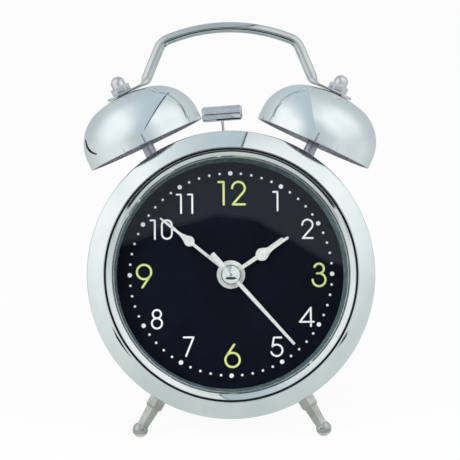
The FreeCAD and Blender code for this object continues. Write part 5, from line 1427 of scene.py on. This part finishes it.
@dataclass(frozen=True)
class Card:
    """A sheet of card in the studio that only polished surfaces see, in metres."""

    name: str
    shade: str
    corners: tuple[tuple[float, float], ...]
    place: Matrix
    fade: tuple[float, float, float, float] = (0.0, 0.0, 0.0, 0.0)

    def material(self) -> bpy.types.Material:
        """Glows in its shade and fades out towards its left, right, lower and upper sides.

        Returns:
            The material.
        """
        made, tree = bare_material(self.name)
        place = add_node(tree, "ShaderNodeTexCoord")
        split = add_node(tree, "ShaderNodeSeparateXYZ", inputs={0: place.outputs["Object"]})
        across = [corner[0] for corner in self.corners]
        along = [corner[1] for corner in self.corners]
        sides = ((0, min(across), self.fade[0]), (0, max(across), -self.fade[1]),
                 (1, min(along), self.fade[2]), (1, max(along), -self.fade[3]))
        share = None
        for axis, edge, inward in sides:
            if not inward:
                continue
            soft = add_node(tree, "ShaderNodeMapRange", {"interpolation_type": "SMOOTHSTEP"}, {
                "Value": split.outputs[axis], "From Min": edge, "From Max": edge + inward})
            share = soft.outputs[0] if share is None else add_node(
                tree, "ShaderNodeMath", {"operation": "MULTIPLY"},
                {0: share, 1: soft.outputs[0]}).outputs[0]
        glow = add_node(tree, "ShaderNodeEmission", inputs={
            "Color": linear(self.shade), "Strength": 1.0})
        clear = add_node(tree, "ShaderNodeBsdfTransparent")
        mixed = add_node(tree, "ShaderNodeMixShader", inputs={
            0: 1.0 if share is None else share, 1: clear.outputs[0], 2: glow.outputs[0]})
        add_node(tree, "ShaderNodeOutputMaterial", inputs={"Surface": mixed.outputs[0]})
        return made


@dataclass(frozen=True)
class Area:
    """A bright or dim area of the tent.

    Its middle is so many degrees away from the camera's direction and so many clockwise from up,
    and it fades out at its reach, also in degrees. Its share is added to the tent's brightness.
    """

    away: float
    clock: float
    reach: float
    share: float


# The dim area below the clock, Area(100, 180, ...), is partly painted shadow: the floor cloth there
# stands in for the floor that the clock shades, as the polished parts mirror it.
AREAS = (
    Area(62, -55, 55, 0.35), Area(60, 52, 52, 0.34), Area(180, 0, 100, -0.33),
    Area(0, 0, 45, -0.27), Area(100, 180, 80, -0.27), Area(60, 100, 45, -0.13),
    Area(90, 0, 50, -0.08),
)


def looking(direction: Vector) -> Matrix:
    """Turns a camera, a lamp or a card to face a direction, upright."""
    return direction.to_track_quat("-Z", "Y").to_matrix().to_4x4()


@dataclass
class Studio:
    """Camera, soft lamps, floor and what the chrome and the glass mirror.

    Lengths are in metres and angles in degrees. Only the sensor, the target and the glass's front
    are in millimetres, the last two in the clock's own frame.
    """

    target: tuple[float, float, float] = (-0.2, 25.0, 17.75)
    distance: float = 1.3
    azimuth: float = -0.3
    elevation: float = 10.4
    roll: float = -0.35
    frame_width: float = 0.1846
    sensor: float = 36.0
    clip_end: float = 50.0
    soft_light: float = 0.6
    floor_size: float = 4.0
    floor_white: float = 0.92
    tent_radius: float = 1.9
    tent_middle: float = 0.08
    tent_share: float = 0.67
    glass_front: float = 5.6
    cloth_away: float = 1.40
    card_away: float = 1.45
    sheet_height: float = 0.314
    sheet_shift: float = 0.029
    sheet_turn: float = -3.9
    floor_cloth_height: float = 0.0015

    def build(self) -> None:
        """Everything that isn't part of the clock."""
        bpy.context.scene.view_settings.view_transform = "Standard"
        self.camera()
        self.world()
        self.lamps()
        self.floor()
        self.tent()
        for card in self.cards():
            self.hung(card)

    def towards_camera(self) -> Vector:
        """Unit vector from the clock to the camera.

        Returns:
            The vector.
        """
        side, rise = math.radians(self.azimuth), math.radians(self.elevation)
        return Vector((math.sin(side) * math.cos(rise), -math.cos(side) * math.cos(rise),
                       math.sin(rise)))

    def aim(self) -> Vector:
        """The point that the camera looks at."""
        return STAND @ Vector(self.target)

    def camera(self) -> None:
        """A long lens square to the dial."""
        data = bpy.data.cameras.new("camera")
        data.sensor_width = self.sensor
        data.lens = self.sensor * self.distance / self.frame_width
        data.clip_end = self.clip_end
        camera = in_scene("camera", data)
        place = Matrix.Translation(self.aim() + self.towards_camera() * self.distance)
        camera.matrix_world = place @ looking(-self.towards_camera()) @ about("Z", self.roll)
        bpy.context.scene.camera = camera

    def clear_rays(self, tree: bpy.types.NodeTree) -> bpy.types.NodeSocket:
        """Gives 1 for the rays that see the white background: from camera, metal and glass.

        Args:
            tree: the node tree.

        Returns:
            The socket.
        """
        rays = add_node(tree, "ShaderNodeLightPath")
        seen = add_node(tree, "ShaderNodeMath", {"operation": "ADD"}, {
            0: rays.outputs["Is Camera Ray"], 1: rays.outputs["Is Glossy Ray"]})
        clear = add_node(tree, "ShaderNodeMath", {"operation": "ADD", "use_clamp": True}, {
            0: seen.outputs[0], 1: rays.outputs["Is Transmission Ray"]})
        return clear.outputs[0]

    def world(self) -> None:
        """White to the camera, metal and glass, and a plain soft light on everything else."""
        world = bpy.data.worlds.new("studio")
        bpy.context.scene.world = world
        world.use_nodes = True
        tree = world.node_tree
        tree.nodes.clear()
        soft = add_node(tree, "ShaderNodeBackground", inputs={
            "Color": WHITE, "Strength": self.soft_light})
        white = add_node(tree, "ShaderNodeBackground", inputs={"Color": WHITE, "Strength": 1.0})
        mixed = add_node(tree, "ShaderNodeMixShader", inputs={
            0: self.clear_rays(tree), 1: soft.outputs[0], 2: white.outputs[0]})
        add_node(tree, "ShaderNodeOutputWorld", inputs={"Surface": mixed.outputs[0]})

    def lamps(self) -> None:
        """A large soft key from the upper left and a weaker fill from the right."""
        for name, place, size, power in (
            ("key", (-0.75, -1.25, 0.8), 0.9, 17.0),
            ("fill", (0.9, -0.8, 0.6), 0.8, 6.5),
        ):
            data = bpy.data.lights.new(name, "AREA")
            data.size = size
            data.energy = power
            lamp = in_scene(name, data)
            lamp.matrix_world = Matrix.Translation(place) @ looking(self.aim() - Vector(place))
            lamp.visible_glossy = False
            lamp.visible_transmission = False

    def floor(self) -> None:
        """A white floor that keeps the clock's soft shadow."""
        material, tree = bare_material("white_floor")
        paint = add_node(tree, "ShaderNodeBsdfDiffuse", inputs={"Color": linear("#F4F4F4")})
        glow = add_node(tree, "ShaderNodeEmission", inputs={"Color": WHITE, "Strength": 1.0})
        share = add_node(tree, "ShaderNodeMath", {"operation": "MULTIPLY"}, {
            0: self.clear_rays(tree), 1: self.floor_white})
        mixed = add_node(tree, "ShaderNodeMixShader", inputs={
            0: share.outputs[0], 1: paint.outputs[0], 2: glow.outputs[0]})
        add_node(tree, "ShaderNodeOutputMaterial", inputs={"Surface": mixed.outputs[0]})
        mesh = bmesh.new()
        bmesh.ops.create_grid(mesh, x_segments=1, y_segments=1, size=self.floor_size)
        self.staged("floor", mesh, material)

    def towards(self, area: Area) -> Vector:
        """Unit vector from the clock to the middle of an area of the tent.

        Args:
            area: the area.

        Returns:
            The vector.
        """
        ahead = self.towards_camera()
        right = Vector((0, 0, 1)).cross(ahead).normalized()
        upward = ahead.cross(right)
        away, clock = math.radians(area.away), math.radians(area.clock)
        return ahead * math.cos(away) + (
            right * math.sin(clock) + upward * math.cos(clock)) * math.sin(away)

    def tent(self) -> None:
        """A tent of white cloth and the cloth on the floor, which only polished surfaces see."""
        dome, cloth = bmesh.new(), bmesh.new()
        bmesh.ops.create_uvsphere(dome, u_segments=48, v_segments=24, radius=self.tent_radius)
        bmesh.ops.create_circle(cloth, cap_ends=True, segments=48, radius=self.tent_radius)
        bmesh.ops.translate(cloth, verts=cloth.verts[:], vec=(0, 0, self.floor_cloth_height))
        # The floor cloth hides the real floor from reflections, so its dim areas carry the clock's
        # painted shadow.
        for name, mesh, dim in (("tent", dome, "#929FA6"), ("floor_cloth", cloth, "#9DA8A3")):
            piece = self.staged(name, mesh, self.cloth(name, dim))
            self.only_mirrored(piece)
            piece.visible_transmission = False

    def cloth(self, name: str, dim: str) -> bpy.types.Material:
        """Cloth that glows between white and its dim shade, area by area.

        Args:
            name: the material's name.
            dim: the shade of its darkest areas.

        Returns:
            The material.
        """
        made, tree = bare_material(name)
        place = add_node(tree, "ShaderNodeTexCoord")
        arm = add_node(tree, "ShaderNodeVectorMath", {"operation": "SUBTRACT"}, {
            0: place.outputs["Object"], 1: (0, 0, self.tent_middle)})
        ray = add_node(tree, "ShaderNodeVectorMath", {"operation": "NORMALIZE"},
                       {0: arm.outputs[0]})
        bright = None
        for area in AREAS:
            along = add_node(tree, "ShaderNodeVectorMath", {"operation": "DOT_PRODUCT"}, {
                0: ray.outputs[0], 1: self.towards(area)})
            soft = add_node(tree, "ShaderNodeMapRange", {"interpolation_type": "SMOOTHSTEP"}, {
                "Value": along.outputs["Value"], "From Min": math.cos(math.radians(area.reach)),
                "From Max": 1.0, "To Min": 0.0, "To Max": area.share})
            bright = add_node(tree, "ShaderNodeMath", {"operation": "ADD"}, {
                0: soft.outputs[0],
                1: self.tent_share if bright is None else bright.outputs[0]})
        shade = add_node(tree, "ShaderNodeValToRGB", inputs={"Fac": bright.outputs[0]},
                         stops=((0.0, linear(dim)), (1.0, WHITE)))
        glow = add_node(tree, "ShaderNodeEmission", inputs={
            "Color": shade.outputs["Color"], "Strength": 1.0})
        add_node(tree, "ShaderNodeOutputMaterial", inputs={"Surface": glow.outputs[0]})
        return made

    def cards(self) -> list[Card]:
        """Cloth and card before the dial, a sheet overhead, seams, and sheets on the floor.

        Returns:
            The cards, fitted to the dark shapes in the chrome.
        """
        axis = (STAND.to_3x3() @ Vector((0, -1, 0))).normalized()
        mirror = (axis * 2 * axis.dot(self.towards_camera()) - self.towards_camera()).normalized()
        turn = looking(-mirror) @ Matrix.Scale(-1, 4, (1, 0, 0))
        hub = STAND @ Vector((0, self.glass_front, 0))
        sideways = about("Z", 90) @ about("X", 90)
        overhead = at(self.sheet_shift, 0, 0) @ about("Z", self.sheet_turn)
        return [
            Card("dark_cloth", "#07090D", (
                (-0.20, -0.08), (-0.15, -0.025), (-0.082, -0.010), (-0.021, 0.026), (0.011, 0.030),
                (0.056, 0.018), (0.093, 0.004), (0.15, -0.03), (0.19, -0.09), (0.15, -0.24),
                (-0.17, -0.24)),
                Matrix.Translation(hub + mirror * self.cloth_away) @ turn),
            Card("dim_card", "#7C838C", box(-0.12, 0.12, -0.12, 0.12),
                 Matrix.Translation(hub + mirror * self.card_away) @ turn,
                 (0.02, 0.02, 0.02, 0.02)),
            Card("overhead_sheet", "#BFCBD2", box(-0.25, 0.0, -0.9, 0.5),
                 overhead @ at(0, 0, self.sheet_height), (0.25, 0.0, 0.4, 0.2)),
            Card("overhead_seam", "#4A535B", box(-0.34, 0.24, 0.288, self.sheet_height),
                 overhead @ sideways, (0.0, 0.08, 0.0, 0.0)),
            Card("seam_end", "#14171C", box(-0.48, -0.14, 0.284, self.sheet_height),
                 overhead @ at(-0.0005, 0, 0) @ sideways, (0.0, 0.12, 0.0, 0.0)),
            Card("floor_seam", "#14171C", ((-0.014, 0), (0.014, 0), (0.12, 1.1), (-0.12, 1.1)),
                 Matrix.Translation((-0.31, 0.06, 0.003)) @ about("Z", 22.0)),
            Card("front_sheet", "#353C41", ((-0.13, -0.16), (0.13, -0.16), (0.26, -0.64),
                 (-0.26, -0.64)), at(0, 0, 0.002), (0.05, 0.05, 0.05, 0.0)),
            Card("left_slip", "#14171C", ((-0.085, -0.083), (-0.136, -0.124), (-0.205, -0.168),
                 (-0.140, -0.113)), at(0, 0, 0.0022)),
            Card("right_slip", "#14171C", ((0.105, -0.098), (0.142, -0.114), (0.175, -0.146),
                 (0.138, -0.124)), at(0, 0, 0.0022)),
            Card("table_edge", "#101318", box(-0.6, 0.6, -0.73, -0.62), at(0, 0, 0.0025)),
            # Painted shadow: a grey fin that only the legs mirror, standing in for the floor that the
            # clock shades between them.
            Card("fin_between_legs", "#5E686E", box(-0.085, -0.046, 0.0, 0.04), sideways,
                 (0.015, 0.01, 0.0, 0.015)),
            Card("seam_between_bells", "#101318", ((0.0004, 0.133), (0.0014, 0.133),
                 (0.0100, 0.152), (0.0090, 0.152)), sideways),
        ]

    def hung(self, card: Card) -> None:
        """Cuts a card to its corners and hangs it where only reflections see it.

        Args:
            card: the card.
        """
        sheet = Solid().outline(card.corners).mesh
        bmesh.ops.contextual_create(sheet, geom=sheet.edges[:])
        piece = self.staged(card.name, sheet, card.material())
        piece.matrix_world = card.place
        self.only_mirrored(piece)

    def only_mirrored(self, piece: bpy.types.Object) -> None:
        """Leaves a piece of the studio to the rays off polished surfaces and through glass.

        Args:
            piece: the piece.
        """
        piece.visible_camera = False
        piece.visible_diffuse = False
        piece.visible_shadow = False

    def staged(self, name: str, mesh: bmesh.types.BMesh,
               material: bpy.types.Material) -> bpy.types.Object:
        """Adds a piece of the studio.

        Args:
            name: its name.
            mesh: its mesh, in metres.
            material: what it is made of.

        Returns:
            The piece.
        """
        data = bpy.data.meshes.new(name)
        mesh.to_mesh(data)
        mesh.free()
        data.materials.append(material)
        piece = in_scene(name, data)
        return piece


def dress_frame() -> None:
    """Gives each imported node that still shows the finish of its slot."""
    for name, node in frame["nodes"].items():
        if node.hide_render:
            continue
        slot = node.data.materials[0].name.split(".")[0] if node.data.materials else ""
        if slot not in SLOT_FINISHES:
            LOG.warning("%s has slot %r, which has no finish", name, slot)
        node.data.materials.clear()
        node.data.materials.append(SLOT_FINISHES.get(slot, ZINC).material())


def main() -> None:
    """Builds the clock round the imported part, piece by piece."""
    logging.basicConfig(level=logging.INFO, format="%(message)s")
    for assembly in (Case(), Print(), Hands(), Bells(), Feet(), Hammer()):
        for piece in assembly.build():
            LOG.info("%s: %d faces", piece.name, len(piece.data.polygons))
    dress_frame()
    Studio().build()


if __name__ == "__main__":
    main()
